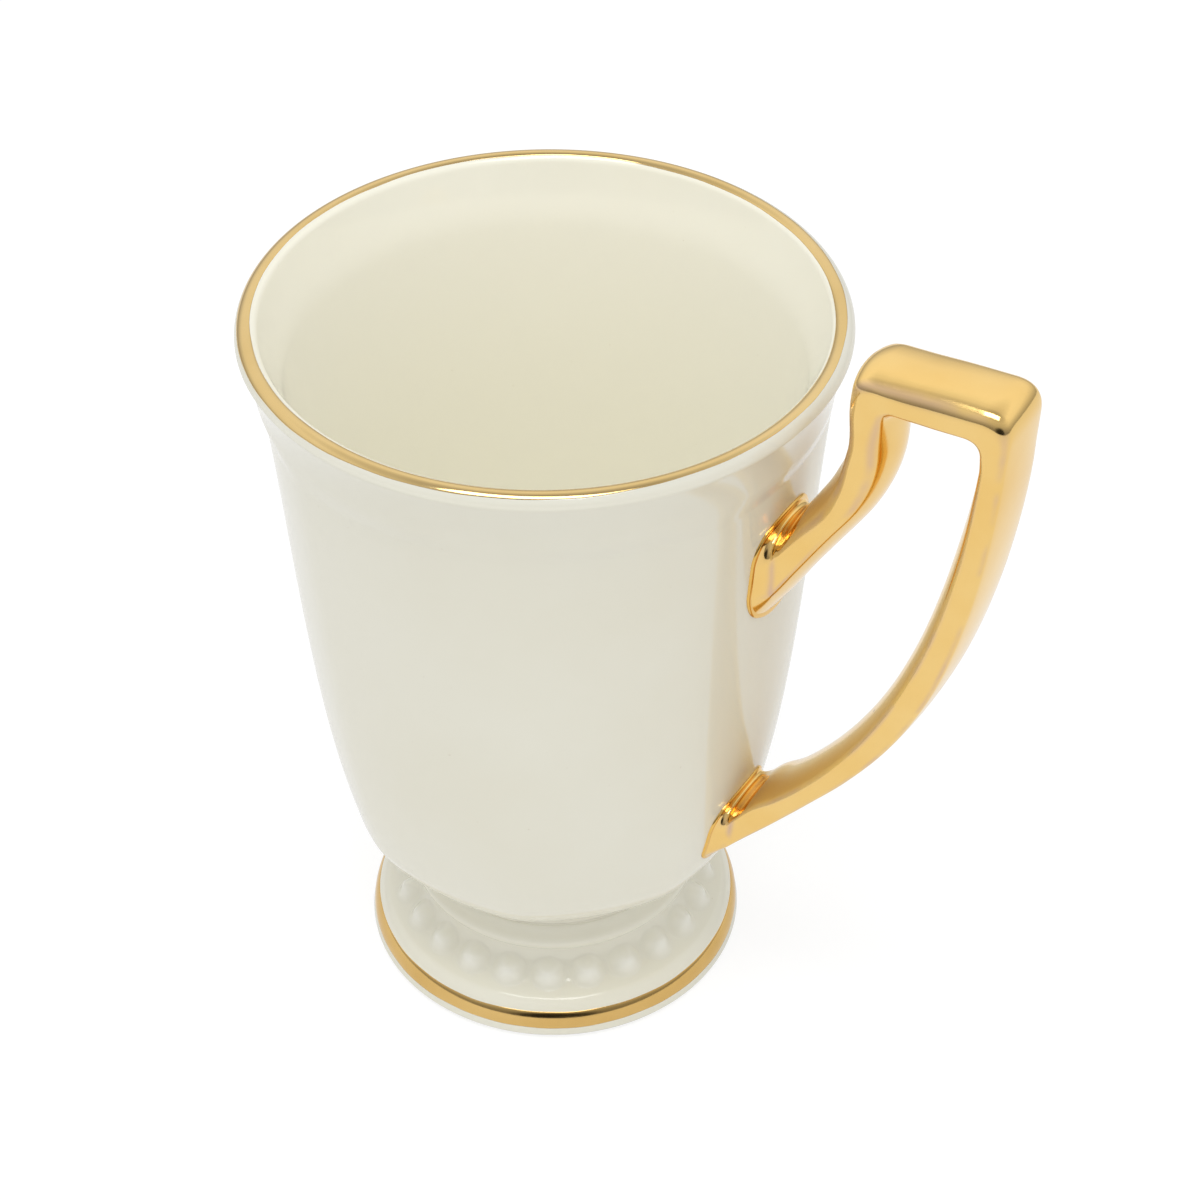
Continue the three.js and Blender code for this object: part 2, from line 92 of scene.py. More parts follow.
def rightward(runs: np.ndarray) -> np.ndarray:
    """Turn directions in the plane by a quarter to the right."""
    return np.stack([runs[..., 1], -runs[..., 0]], -1)


def curved(points: Sequence[Pair | np.ndarray], steps: int) -> np.ndarray:
    """Sample a smooth curve that its control points draw to them.

    Args:
        points: Where it starts, what draws it, and where it ends, in the plane.
        steps: Number of equal parameter steps.

    Returns:
        The sampled points, one row each.
    """
    level = [np.asarray(p, float)[None, :] for p in points]
    t = np.linspace(0.0, 1.0, steps + 1)[:, None]
    while len(level) > 1:
        level = [(1 - t) * a + t * b for a, b in zip(level, level[1:])]
    return level[0]


def arc(centre: Pair, radius: float, start: float, stop: float, steps: int) -> np.ndarray:
    """Sample a circular arc.

    Args:
        centre: Centre of the circle.
        radius: Radius of the circle.
        start: First angle in degrees.
        stop: Last angle in degrees.
        steps: Number of equal steps.

    Returns:
        The sampled points, one row each.
    """
    angle = np.radians(np.linspace(start, stop, steps + 1))
    return np.stack([centre[0] + radius * np.cos(angle), centre[1] + radius * np.sin(angle)], 1)


def filleted(corners: Sequence[Corner], steps: int) -> np.ndarray:
    """Join corners by straight lines with a soft curve at each corner.

    Args:
        corners: Radius, height and softness of each corner.
        steps: Steps in each soft curve.

    Returns:
        The outline from the first corner to the last.
    """
    places = np.array([c[:2] for c in corners], float)
    rows = [places[:1]]
    for i in range(1, len(corners) - 1):
        back = places[i - 1] - places[i]
        ahead = places[i + 1] - places[i]
        reach = min(corners[i][2], np.linalg.norm(back) / 2, np.linalg.norm(ahead) / 2)
        first = places[i] + unit(back) * reach
        last = places[i] + unit(ahead) * reach
        rows.append(curved([first, places[i], last], steps))
    rows.append(places[-1:])
    return np.concatenate(rows)


def run_lengths(line: np.ndarray) -> np.ndarray:
    """Give the length run along a polyline at each of its points."""
    return np.concatenate([[0.0], np.cumsum(np.linalg.norm(np.diff(line, axis=0), axis=1))])


def spaced(line: np.ndarray, shares: np.ndarray) -> np.ndarray:
    """Pick points along a polyline.

    Args:
        line: The polyline's points, one row each.
        shares: Shares of the whole length, from 0 to 1.

    Returns:
        One point for each share, along the last axis.
    """
    length = run_lengths(line)
    return np.stack([np.interp(shares * length[-1], length, line[:, k]) for k in range(line.shape[1])], -1)


def smoothstep(value: np.ndarray, span: Pair) -> np.ndarray:
    """Ease from 0 to 1 over a span, with level ends."""
    held = np.clip((value - span[0]) / (span[1] - span[0]), 0.0, 1.0)
    return held * held * (3.0 - 2.0 * held)


def eased(places: np.ndarray, knots: np.ndarray, values: np.ndarray) -> np.ndarray:
    """Pass smoothly from value to value.

    Args:
        places: Where to read.
        knots: Rising places of the known values.
        values: The value at each knot.

    Returns:
        One value for each place.
    """
    before = np.clip(np.searchsorted(knots, places, side="right") - 1, 0, len(knots) - 2)
    after = before + 1
    slopes = np.gradient(values, knots)
    span = knots[after] - knots[before]
    share = np.clip((places - knots[before]) / span, 0.0, 1.0)
    rest = 1.0 - share
    ends = rest**2 * (1 + 2 * share) * values[before] + share**2 * (1 + 2 * rest) * values[after]
    return ends + span * share * rest * (rest * slopes[before] - share * slopes[after])


def round_angles(around: int) -> np.ndarray:
    """Give the angles of equal places round a ring."""
    return np.linspace(0.0, 2 * math.pi, around, endpoint=False)


def wrapped(radius: np.ndarray, angle: np.ndarray, height: np.ndarray | float) -> np.ndarray:
    """Set radius, angle and height out as points about the mug's axis.

    Args:
        radius: Distance from the axis.
        angle: Angle round the axis.
        height: Height along the axis.

    Returns:
        The points, as ring, place, coordinate.
    """
    return np.stack([radius * np.cos(angle), radius * np.sin(angle), height + 0 * angle], 2)


def turned(profile: np.ndarray, around: int) -> np.ndarray:
    """Turn an outline of radius and height about the mug's axis.

    Args:
        profile: Radius and height, one row each, off the axis.
        around: Places round each ring.

    Returns:
        The rings, as ring, place, coordinate.
    """
    return wrapped(profile[:, :1], round_angles(around), profile[:, 1:])


def ring_mesh(name: str, rings: np.ndarray, ends: Ends) -> bpy.types.Mesh:
    """Make a closed, smooth mesh from a stack of rings.

    Args:
        name: Name of the mesh.
        rings: Points in metres, as ring, place in the ring, coordinate.
        ends: How the stack is closed.

    Returns:
        The new mesh, with the points of the rings first and the middles of the caps after them.
    """
    count, around = rings.shape[:2]
    body = bmesh.new()
    verts = [body.verts.new(point) for point in rings.reshape(-1, 3)]
    rows = count if ends is Ends.JOINED else count - 1
    for i in range(rows):
        here, there = i * around, ((i + 1) % count) * around
        for j in range(around):
            k = (j + 1) % around
            body.faces.new((verts[here + j], verts[here + k], verts[there + k], verts[there + j]))
    if ends is Ends.CAPPED:
        for start in (0, (count - 1) * around):
            loop = verts[start:start + around]
            middle = body.verts.new(sum((v.co for v in loop), Vector()) / around)
            for j in range(around):
                body.faces.new((loop[j], loop[(j + 1) % around], middle))
    bmesh.ops.recalc_face_normals(body, faces=body.faces)
    mesh = bpy.data.meshes.new(name)
    body.to_mesh(mesh)
    body.free()
    mesh.polygons.foreach_set("use_smooth", [True] * len(mesh.polygons))
    return mesh


def in_scene(name: str, data: bpy.types.ID) -> bpy.types.Object:
    """Put an object with its data into the scene."""
    made = bpy.data.objects.new(name, data)
    bpy.context.scene.collection.objects.link(made)
    return made


@dataclass(frozen=True)
class Pattern:
    """A noise over the surface, and the span of its values that shows."""

    scale: float
    detail: float
    span: Pair = (0.0, 1.0)
    roughness: float = 0.55


class NodeSheet:
    """Lays out the nodes of one material or world."""

    def __init__(self, tree: bpy.types.NodeTree) -> None:
        """Start with an empty tree."""
        self.tree = tree
        self.tree.nodes.clear()

    def feed(self, target: Socket, value: Socket | Colour | float) -> None:
        """Link a socket to the target, or set a plain value on it."""
        if isinstance(value, Socket):
            self.tree.links.new(value, target)
        else:
            target.default_value = (*value, 1.0) if target.type == "RGBA" else value

    def add(
        self, kind: str, inputs: dict[str | int, Socket | Colour | float] | None = None, **settings: str
    ) -> bpy.types.Node:
        """Add one node.

        Args:
            kind: Blender's name of the node type.
            inputs: What each named or numbered input gets.
            **settings: Properties of the node.

        Returns:
            The new node.
        """
        node = self.tree.nodes.new(kind)
        for name, value in settings.items():
            setattr(node, name, value)
        for name, value in (inputs or {}).items():
            self.feed(node.inputs[name], value)
        return node

    def marks(self) -> Socket:
        """Give the painted light and shade that is held on the piece's points."""
        return self.add("ShaderNodeAttribute", attribute_name=PAINTED_LIGHT_ATTRIBUTE).outputs["Fac"]

    def noise(self, coords: Socket, pattern: Pattern) -> Socket:
        """Add a noise texture and give its value socket."""
        inputs = {"Scale": pattern.scale, "Detail": pattern.detail, "Roughness": pattern.roughness}
        return self.add("ShaderNodeTexNoise", {"Vector": coords, **inputs}).outputs["Fac"]

    def ranged(self, value: Socket, span: Pair, levels: Pair) -> Socket:
        """Map a value from one range to another.

        Args:
            value: The socket to map.
            span: The two ends of the range that comes in.
            levels: What they become.

        Returns:
            The mapped value's socket.
        """
        names = ("From Min", "From Max", "To Min", "To Max")
        inputs = dict(zip(names, (*span, *levels)))
        return self.add("ShaderNodeMapRange", {"Value": value, **inputs}).outputs["Result"]

    def patterned(self, coords: Socket, pattern: Pattern, levels: Pair = (0.0, 1.0)) -> Socket:
        """Add a noise texture and map the span that shows to two levels."""
        return self.ranged(self.noise(coords, pattern), pattern.span, levels)

    def ramp(self, value: Socket, stops: Sequence[Pair]) -> Socket:
        """Turn a value into a level by stops.

        Args:
            value: The socket to read, from 0 to 1.
            stops: Places and their levels.

        Returns:
            The level's colour socket.
        """
        node = self.add("ShaderNodeValToRGB", {"Fac": value})
        elements = node.color_ramp.elements
        # A new ramp has two stops; the others are added here and all are then moved to their places.
        while len(elements) < len(stops):
            elements.new(0.5)
        for element, (place, level) in zip(elements, stops):
            element.position = place
            element.color = (level, level, level, 1.0)
        return node.outputs["Color"]

    def maths(self, operation: str, first: Socket, second: Socket) -> Socket:
        """Work out one value from two by a named operation."""
        return self.add("ShaderNodeMath", {0: first, 1: second}, operation=operation).outputs["Value"]

    def blend(
        self, factor: Socket | float, first: Socket | Colour, second: Socket | Colour, way: str = "MIX"
    ) -> Socket:
        """Blend two colours.

        Args:
            factor: How far the second colour is blended in, from 0 to 1.
            first: Colour or socket at 0.
            second: Colour or socket that is blended in.
            way: Blender's name of the way of blending.

        Returns:
            The blended colour's socket.
        """
        node = self.add("ShaderNodeMix", {"Factor": factor}, data_type="RGBA", blend_type=way)
        colours = [socket for socket in node.inputs if socket.type == "RGBA"]
        for socket, colour in zip(colours, (first, second)):
            self.feed(socket, colour)
        return next(socket for socket in node.outputs if socket.type == "RGBA")

    def chosen(self, factor: Socket, first: Socket, second: Socket) -> Socket:
        """Pass from one shader at 0 to another at 1."""
        return self.add("ShaderNodeMixShader", {0: factor, 1: first, 2: second}).outputs["Shader"]

    def background(self, colour: Socket | Colour, strength: float) -> Socket:
        """Add a background of one strength and give its shader socket."""
        inputs = {"Color": colour, "Strength": strength}
        return self.add("ShaderNodeBackground", inputs).outputs["Background"]

    def bump(self, height: Socket, strength: float, distance: float) -> Socket:
        """Turn a height into a bent normal and give its socket."""
        inputs = {"Height": height, "Strength": strength, "Distance": distance}
        return self.add("ShaderNodeBump", inputs).outputs["Normal"]


@dataclass(frozen=True)
class Finish:
    """A surface finish that is turned into a node material."""

    name: str

    def dress(self, sheet: NodeSheet, coords: Socket) -> dict[str, Socket | float]:
        """Lay out the finish's nodes.

        Args:
            sheet: The material's nodes.
            coords: Coordinates in metres on the piece.

        Returns:
            What each named input of the Principled shader gets.
        """
        raise NotImplementedError

    @cache
    def material(self) -> bpy.types.Material:
        """Give the finish's material, made once."""
        made = bpy.data.materials.new(self.name)
        made.use_nodes = True
        sheet = NodeSheet(made.node_tree)
        coords = sheet.add("ShaderNodeTexCoord").outputs["Object"]
        shader = sheet.add("ShaderNodeBsdfPrincipled", self.dress(sheet, coords))
        sheet.add("ShaderNodeOutputMaterial", {"Surface": shader.outputs["BSDF"]})
        return made


@dataclass(frozen=True)
class IvoryGlaze(Finish):
    """Clear glossy glaze over an ivory body, with faint clouds and a slow wave in the gloss."""

    light: Colour = (0.870, 0.850, 0.735)
    deep: Colour = (0.855, 0.830, 0.705)
    # Painted light: a paler tone inside the bowl and on the bead tops.
    painted_light_tone: Colour = (0.957, 0.936, 0.825)
    # Painted shade: a darker tone on the lip's outer edge.
    painted_shade_tone: Colour = (0.640, 0.628, 0.550)
    speck: Colour = (0.560, 0.470, 0.330)
    clouds: Pattern = Pattern(34.0, 3.0, (0.35, 0.65))
    grains: Pattern = Pattern(1500.0, 1.0, (0.80, 0.84))
    grain_share: float = 0.35
    sheen: Pattern = Pattern(70.0, 2.0, (0.3, 0.7))
    gloss: Pair = (0.06, 0.12)
    wave: Pattern = Pattern(95.0, 1.0)
    wave_strength: float = 0.5
    wave_depth: float = 0.00005
    refraction: float = 1.5

    def dress(self, sheet: NodeSheet, coords: Socket) -> dict[str, Socket | float]:
        """Lay out clouds, a paler tone painted as light inside, a darker tone painted as shade on the lip,
        rare specks, gloss and wave.

        Args:
            sheet: The material's nodes.
            coords: Coordinates in metres on the piece.

        Returns:
            What each named input of the Principled shader gets.
        """
        marks = sheet.marks()
        body = sheet.blend(sheet.patterned(coords, self.clouds), self.light, self.deep)
        # Paler where the marks are above 0, as painted light; darker where they are below 0, as painted
        # shade.
        body = sheet.blend(marks, body, self.painted_light_tone)
        body = sheet.blend(sheet.ranged(marks, (-1.0, 0.0), (1.0, 0.0)), body, self.painted_shade_tone)
        grains = sheet.patterned(coords, self.grains, (0.0, self.grain_share))
        return {
            "Base Color": sheet.blend(grains, body, self.speck),
            "Roughness": sheet.patterned(coords, self.sheen, self.gloss),
            "Normal": sheet.bump(sheet.noise(coords, self.wave), self.wave_strength, self.wave_depth),
            "IOR": self.refraction,
        }


@dataclass(frozen=True)
class FiredGold(Finish):
    """Burnished fired gold with a painted dark mauve reflection on its ridges, soft tone and a few
    pinholes.
    """

    bright: Colour = (0.920, 0.640, 0.245)
    deep: Colour = (0.890, 0.585, 0.195)
    tones: Pattern = Pattern(60.0, 4.0, (0.35, 0.7))
    # Painted reflection: a dark mauve tint on ridges and folds, laid in patches.
    painted_reflection: Colour = (0.680, 0.470, 0.340)
    painted_reflection_share: float = 0.60
    patches: Pattern = Pattern(130.0, 2.0, (0.4, 0.6))
    pinhole: Colour = (0.160, 0.070, 0.020)
    pinhole_scale: float = 190.0
    pinhole_edge: Pair = (0.035, 0.055)
    pinhole_rarity: Pair = (0.80, 0.81)
    sheen: Pattern = Pattern(160.0, 3.0, (0.3, 0.7))
    gloss: Pair = (0.09, 0.15)
    brush: Pattern = Pattern(420.0, 2.0)
    brush_strength: float = 0.35
    brush_depth: float = 0.00002

    def dress(self, sheet: NodeSheet, coords: Socket) -> dict[str, Socket | float]:
        """Lay out tone, the painted dark mauve reflection on ridges, pinholes, gloss and brush marks.

        Args:
            sheet: The material's nodes.
            coords: Coordinates in metres on the piece.

        Returns:
            What each named input of the Principled shader gets.
        """
        colour = sheet.blend(sheet.patterned(coords, self.tones), self.bright, self.deep)
        # Painted dark reflection, in patches where the marks are above 0.
        patches = sheet.patterned(coords, self.patches, (0.0, self.painted_reflection_share))
        colour = sheet.blend(sheet.maths("MULTIPLY", sheet.marks(), patches), colour, self.painted_reflection)
        cells = sheet.add("ShaderNodeTexVoronoi", {"Vector": coords, "Scale": self.pinhole_scale})
        dots = sheet.ranged(cells.outputs["Distance"], self.pinhole_edge, (1.0, 0.0))
        draw = sheet.add("ShaderNodeSeparateColor", {"Color": cells.outputs["Color"]}).outputs["Red"]
        rare = sheet.ranged(draw, self.pinhole_rarity, (0.0, 1.0))
        return {
            "Base Color": sheet.blend(sheet.maths("MULTIPLY", dots, rare), colour, self.pinhole),
            "Roughness": sheet.patterned(coords, self.sheen, self.gloss),
            "Normal": sheet.bump(sheet.noise(coords, self.brush), self.brush_strength, self.brush_depth),
            "Metallic": 1.0,
        }


@dataclass(frozen=True)
class Finishes:
    """The finishes of the mug."""

    porcelain: IvoryGlaze = IvoryGlaze("ivory_glaze")
    # The beads' paler tone is painted light on their tops.
    beads: IvoryGlaze = IvoryGlaze("bead_glaze", painted_light_tone=(0.930, 0.918, 0.830))
    slip: IvoryGlaze = IvoryGlaze("slip_glaze", light=(0.840, 0.810, 0.690), deep=(0.810, 0.775, 0.640))
    handle: FiredGold = FiredGold("fired_gold_strap")
    pad: FiredGold = FiredGold("fired_gold_roll", bright=(0.86, 0.56, 0.17), deep=(0.78, 0.46, 0.11))
    rim_line: FiredGold = FiredGold("fired_gold_rim", bright=(0.78, 0.57, 0.26), deep=(0.72, 0.51, 0.21))
    foot_line: FiredGold = FiredGold("fired_gold_foot", bright=(0.76, 0.51, 0.19), deep=(0.68, 0.43, 0.14))


@dataclass
class MugFrame:
    """Where the mug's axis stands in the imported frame."""

    axis_x: float

    @classmethod
    def from_nodes(cls) -> "MugFrame":
        """Read the axis from the pedestal foot's box."""
        low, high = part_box("pedestal_foot")
        return cls((low.x + high.x) / 2 / MM)

    def piece(
        self,
        name: str,
        rings: np.ndarray,
        ends: Ends,
        finish: Finish,
        slot: str,
        nodes: list[str],
        marks: np.ndarray | None = None,
        normals: np.ndarray | None = None,
    ) -> None:
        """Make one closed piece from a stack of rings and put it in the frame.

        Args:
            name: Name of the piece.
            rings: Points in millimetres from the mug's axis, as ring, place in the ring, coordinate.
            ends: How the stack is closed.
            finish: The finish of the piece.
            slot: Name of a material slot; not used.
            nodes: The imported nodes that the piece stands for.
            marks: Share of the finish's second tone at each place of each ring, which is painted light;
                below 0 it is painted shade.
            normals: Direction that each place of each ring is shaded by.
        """
        mesh = ring_mesh(name, (rings + np.array([self.axis_x, 0.0, 0.0])) * MM, ends)
        placed = rings.shape[0] * rings.shape[1]
        if marks is not None:
            shares = np.full(len(mesh.vertices), marks[-1].mean(), np.float32)
            shares[:placed] = marks.ravel()
            mesh.attributes.new(PAINTED_LIGHT_ATTRIBUTE, "FLOAT", "POINT").data.foreach_set("value", shares)
        if normals is not None:
            shaded = np.array([v.normal for v in mesh.vertices])
            shaded[:placed] = normals.reshape(-1, 3)
            mesh.normals_split_custom_set_from_vertices(shaded)
        mesh.materials.append(finish.material())
        made = in_scene(name, mesh)
        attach(made, BODY)
        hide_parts(*nodes)
        LOG.info("%s: %d points", name, len(mesh.vertices))


@dataclass
class Bowl:
    """The panelled, lipped bowl.

    A pair holds a radius and a height. The lip's blend and the panels' rise hold two heights, and the
    gilt's span and lean hold two angles in degrees over the lip's edge.
    """

    place: MugFrame
    height: float
    lip_radius: float
    lip_height: float = 10.5
    lip_edge: float = 1.7
    lip_turn: float = 160.0
    lip_hollow: float = 0.4
    lip_foot_radius: float = 41.35
    lip_blend: Pair = (107.2, 111.4)
    # How far inwards the painted shade on the lip's outer edge reaches.
    lip_shade_inwards: float = 1.5
    gilt_span: Pair = (36.0, 112.0)
    gilt_lean: Pair = (35.0, 20.0)
    gilt_lean_at: float = 32.0
    panels: int = 8
    panel_top_radius: float = 40.6
    panel_flare: Pair = (2.4, 25.3)
    panel_bottom: Pair = (31.6, 29.0)
    panel_belly: Pair = (6.0, 20.8)
    panel_bulge: float = 12.0
    panel_edge_soft: float = 0.42
    panel_rise: Pair = (18.5, 28.0)
    bottom_soft: float = 3.4
    base: Pair = (21.6, 18.0)
    base_soft: float = 1.2
    base_hub: float = 3.0
    wall: float = 3.2
    floor_height: float = 22.6
    floor_radius: float = 13.0
    floor_sweep: float = 17.0
    floor_lean: float = 4.3
    floor_hub: float = 2.0
    around: int = 256
    curve_steps: int = 400
    base_steps: int = 6
    base_rows: int = 5
    bottom_steps: int = 14
    panel_rows: int = 56
    blend_rows: int = 22
    lip_rows: int = 18
    edge_steps: int = 26
    throat_steps: int = 16
    wall_rows: int = 44
    sweep_steps: int = 22
    floor_rows: int = 6
    gilt_rows: int = 19
    curve_points: np.ndarray = field(init=False)

    def __post_init__(self) -> None:
        """Sample the middle line of a panel once."""
        self.curve_points = curved(self.panel_controls(), self.curve_steps)

    @property
    def panel_top(self) -> float:
        """Height where the panels end under the lip."""
        return self.height - self.lip_height

    def panel_controls(self) -> list[Pair]:
        """Give the control points of a panel's middle line."""
        foot_r, foot_z = self.panel_bottom
        top_r, top_z = self.panel_top_radius, self.panel_top
        return [
            (foot_r, foot_z),
            (foot_r + self.panel_belly[0], foot_z + self.panel_belly[1]),
            (top_r - self.panel_flare[0], top_z - self.panel_flare[1]),
            (top_r, top_z),
        ]

    def wall_radius(self, height: np.ndarray) -> np.ndarray:
        """Give the outside radius at the middle of a panel."""
        return np.interp(height, self.curve_points[:, 1], self.curve_points[:, 0])

    def wall_x(self, across: np.ndarray, height: np.ndarray) -> np.ndarray:
        """Give the handle panel's surface along X, from the place across it and its height."""
        reach = self.wall_radius(height) + self.panel_bulge
        return np.sqrt(reach**2 - across**2) - self.panel_bulge

    def panelled(self, middle: np.ndarray, angle: np.ndarray) -> np.ndarray:
        """Give the panelled radius all round, with softened panel edges.

        Args:
            middle: Radius at the middle of a panel, one row for each ring.
            angle: Angle of each place round the ring.

        Returns:
            The radius, as ring, place.
        """
        turn = 2 * math.pi / self.panels
        near = np.abs((angle + turn / 2) % turn - turn / 2)

        def one_panel(away: np.ndarray) -> np.ndarray:
            """Give the radius of one panel's bulged surface, by the angle from its middle."""
            aside = self.panel_bulge * np.sin(away)
            return np.sqrt((middle + self.panel_bulge) ** 2 - aside**2) - self.panel_bulge * np.cos(away)

        first, second = one_panel(near), one_panel(turn - near)
        soft = np.maximum(self.panel_edge_soft - np.abs(first - second), 0) / self.panel_edge_soft
        return np.minimum(first, second) - soft**2 * self.panel_edge_soft / 4

    def lip_outside(self, height: np.ndarray) -> np.ndarray:
        """Give the lip's outside radius, hollow between its foot and its edge."""
        share = (height - self.panel_top) / (self.height - self.lip_edge - self.panel_top)
        straight = self.lip_foot_radius + share * (self.lip_radius - self.lip_foot_radius)
        return straight - 4 * self.lip_hollow * share * (1 - share)

    def outside(self) -> np.ndarray:
        """Give the rings of the outside, from the base to the edge of the lip."""
        corners = [(0.0, self.base[1], 0.0), (*self.base, self.base_soft), (*self.panel_bottom, 0.0)]
        underside = filleted(corners, self.base_steps)
        flat = np.linspace([self.base_hub, self.base[1]], underside[1], self.base_rows)
        bottom = underside[-1]
        first = bottom + unit(underside[-2] - bottom) * self.bottom_soft
        last = bottom + unit(self.curve_points[1] - self.curve_points[0]) * self.bottom_soft
        turn = curved([first, bottom, last], self.bottom_steps)
        low, high = self.lip_blend
        heights = np.concatenate([
            np.linspace(turn[-1, 1], low, self.panel_rows)[1:-1],
            np.linspace(low, high, self.blend_rows),
            np.linspace(high, self.height - self.lip_edge, self.lip_rows)[1:],
        ])
        climb = np.stack([self.wall_radius(heights), heights], 1)
        profile = np.concatenate([flat, underside[2:-1], turn, climb])
        plain, height = profile[:, :1], profile[:, 1:]
        angle = round_angles(self.around)
        radius = plain + (self.panelled(plain, angle) - plain) * smoothstep(height, self.panel_rise)
        radius = radius + (self.lip_outside(height) - radius) * smoothstep(height, self.lip_blend)
        return wrapped(radius, angle, height)

    def inside(self) -> np.ndarray:
        """Give the outline of the lip's edge and the inside, down to the floor."""
        centre = (self.lip_radius - self.lip_edge, self.height - self.lip_edge)
        edge = arc(centre, self.lip_edge, 0.0, self.lip_turn, self.edge_steps)[1:]
        wall_top = np.array([self.panel_top_radius - self.wall, self.panel_top])
        run = self.curve_points[-1] - self.curve_points[-2]
        leave = edge[-1] - edge[-2]
        reach = (edge[-1, 1] - self.panel_top) / 3
        first = edge[-1] - leave / leave[1] * reach
        second = wall_top + run / run[1] * reach
        throat = curved([edge[-1], first, second, wall_top], self.throat_steps)[1:]
        heights = np.linspace(self.panel_top, self.floor_height + self.floor_sweep, self.wall_rows)[1:]
        wall = np.stack([self.wall_radius(heights) - self.wall, heights], 1)
        corner = (wall[-1, 0] - self.floor_lean, self.floor_height)
        floor_edge = (self.floor_radius, self.floor_height)
        sweep = curved([wall[-1], corner, floor_edge], self.sweep_steps)[1:]
        floor = np.linspace(floor_edge, (self.floor_hub, self.floor_height), self.floor_rows)[1:]
        return np.concatenate([edge, throat, wall, sweep, floor])

    def thin_glaze(self, rings: np.ndarray) -> np.ndarray:
        """Give the share of painted shade over the lip's outer edge, at each point of the rings."""
        up = (rings[:, :, 2] - self.height) / self.lip_edge + 1.0
        out = (np.hypot(rings[:, :, 0], rings[:, :, 1]) - self.lip_radius) / self.lip_edge + 1.0
        return np.clip(up, 0.0, 1.0) * np.clip(1.0 + self.lip_shade_inwards * out, 0.0, 1.0)

    def gilded_course(self) -> np.ndarray:
        """Give the painted line's course over the lip's edge all round, leaning inwards on one side."""
        lean = (1 + np.cos(round_angles(self.around) - math.radians(self.gilt_lean_at))) / 2
        start, stop = (span + lean * more for span, more in zip(self.gilt_span, self.gilt_lean))
        turn = np.radians(np.linspace(start, stop, self.gilt_rows))
        radius = self.lip_radius + self.lip_edge * (np.cos(turn) - 1)
        height = self.height + self.lip_edge * (np.sin(turn) - 1)
        return np.stack([radius, height], 2)

    def build(self, finishes: Finishes) -> None:
        """Make the glazed bowl."""
        outside, inside = self.outside(), turned(self.inside(), self.around)
        rings = np.concatenate([outside, inside])
        within = (np.arange(len(rings)) >= len(outside))[:, None]
        # Painted light: the inside is made paler from the lip down; painted shade is laid on the lip's
        # outer edge.
        painted_inside_light = smoothstep(self.height - rings[:, :, 2], (0.0, self.lip_height)) * within
        marks = painted_inside_light - self.thin_glaze(rings)
        self.place.piece(
            "bowl_glazed", rings, Ends.CAPPED, finishes.porcelain, "porcelain", ["bowl"], marks
        )


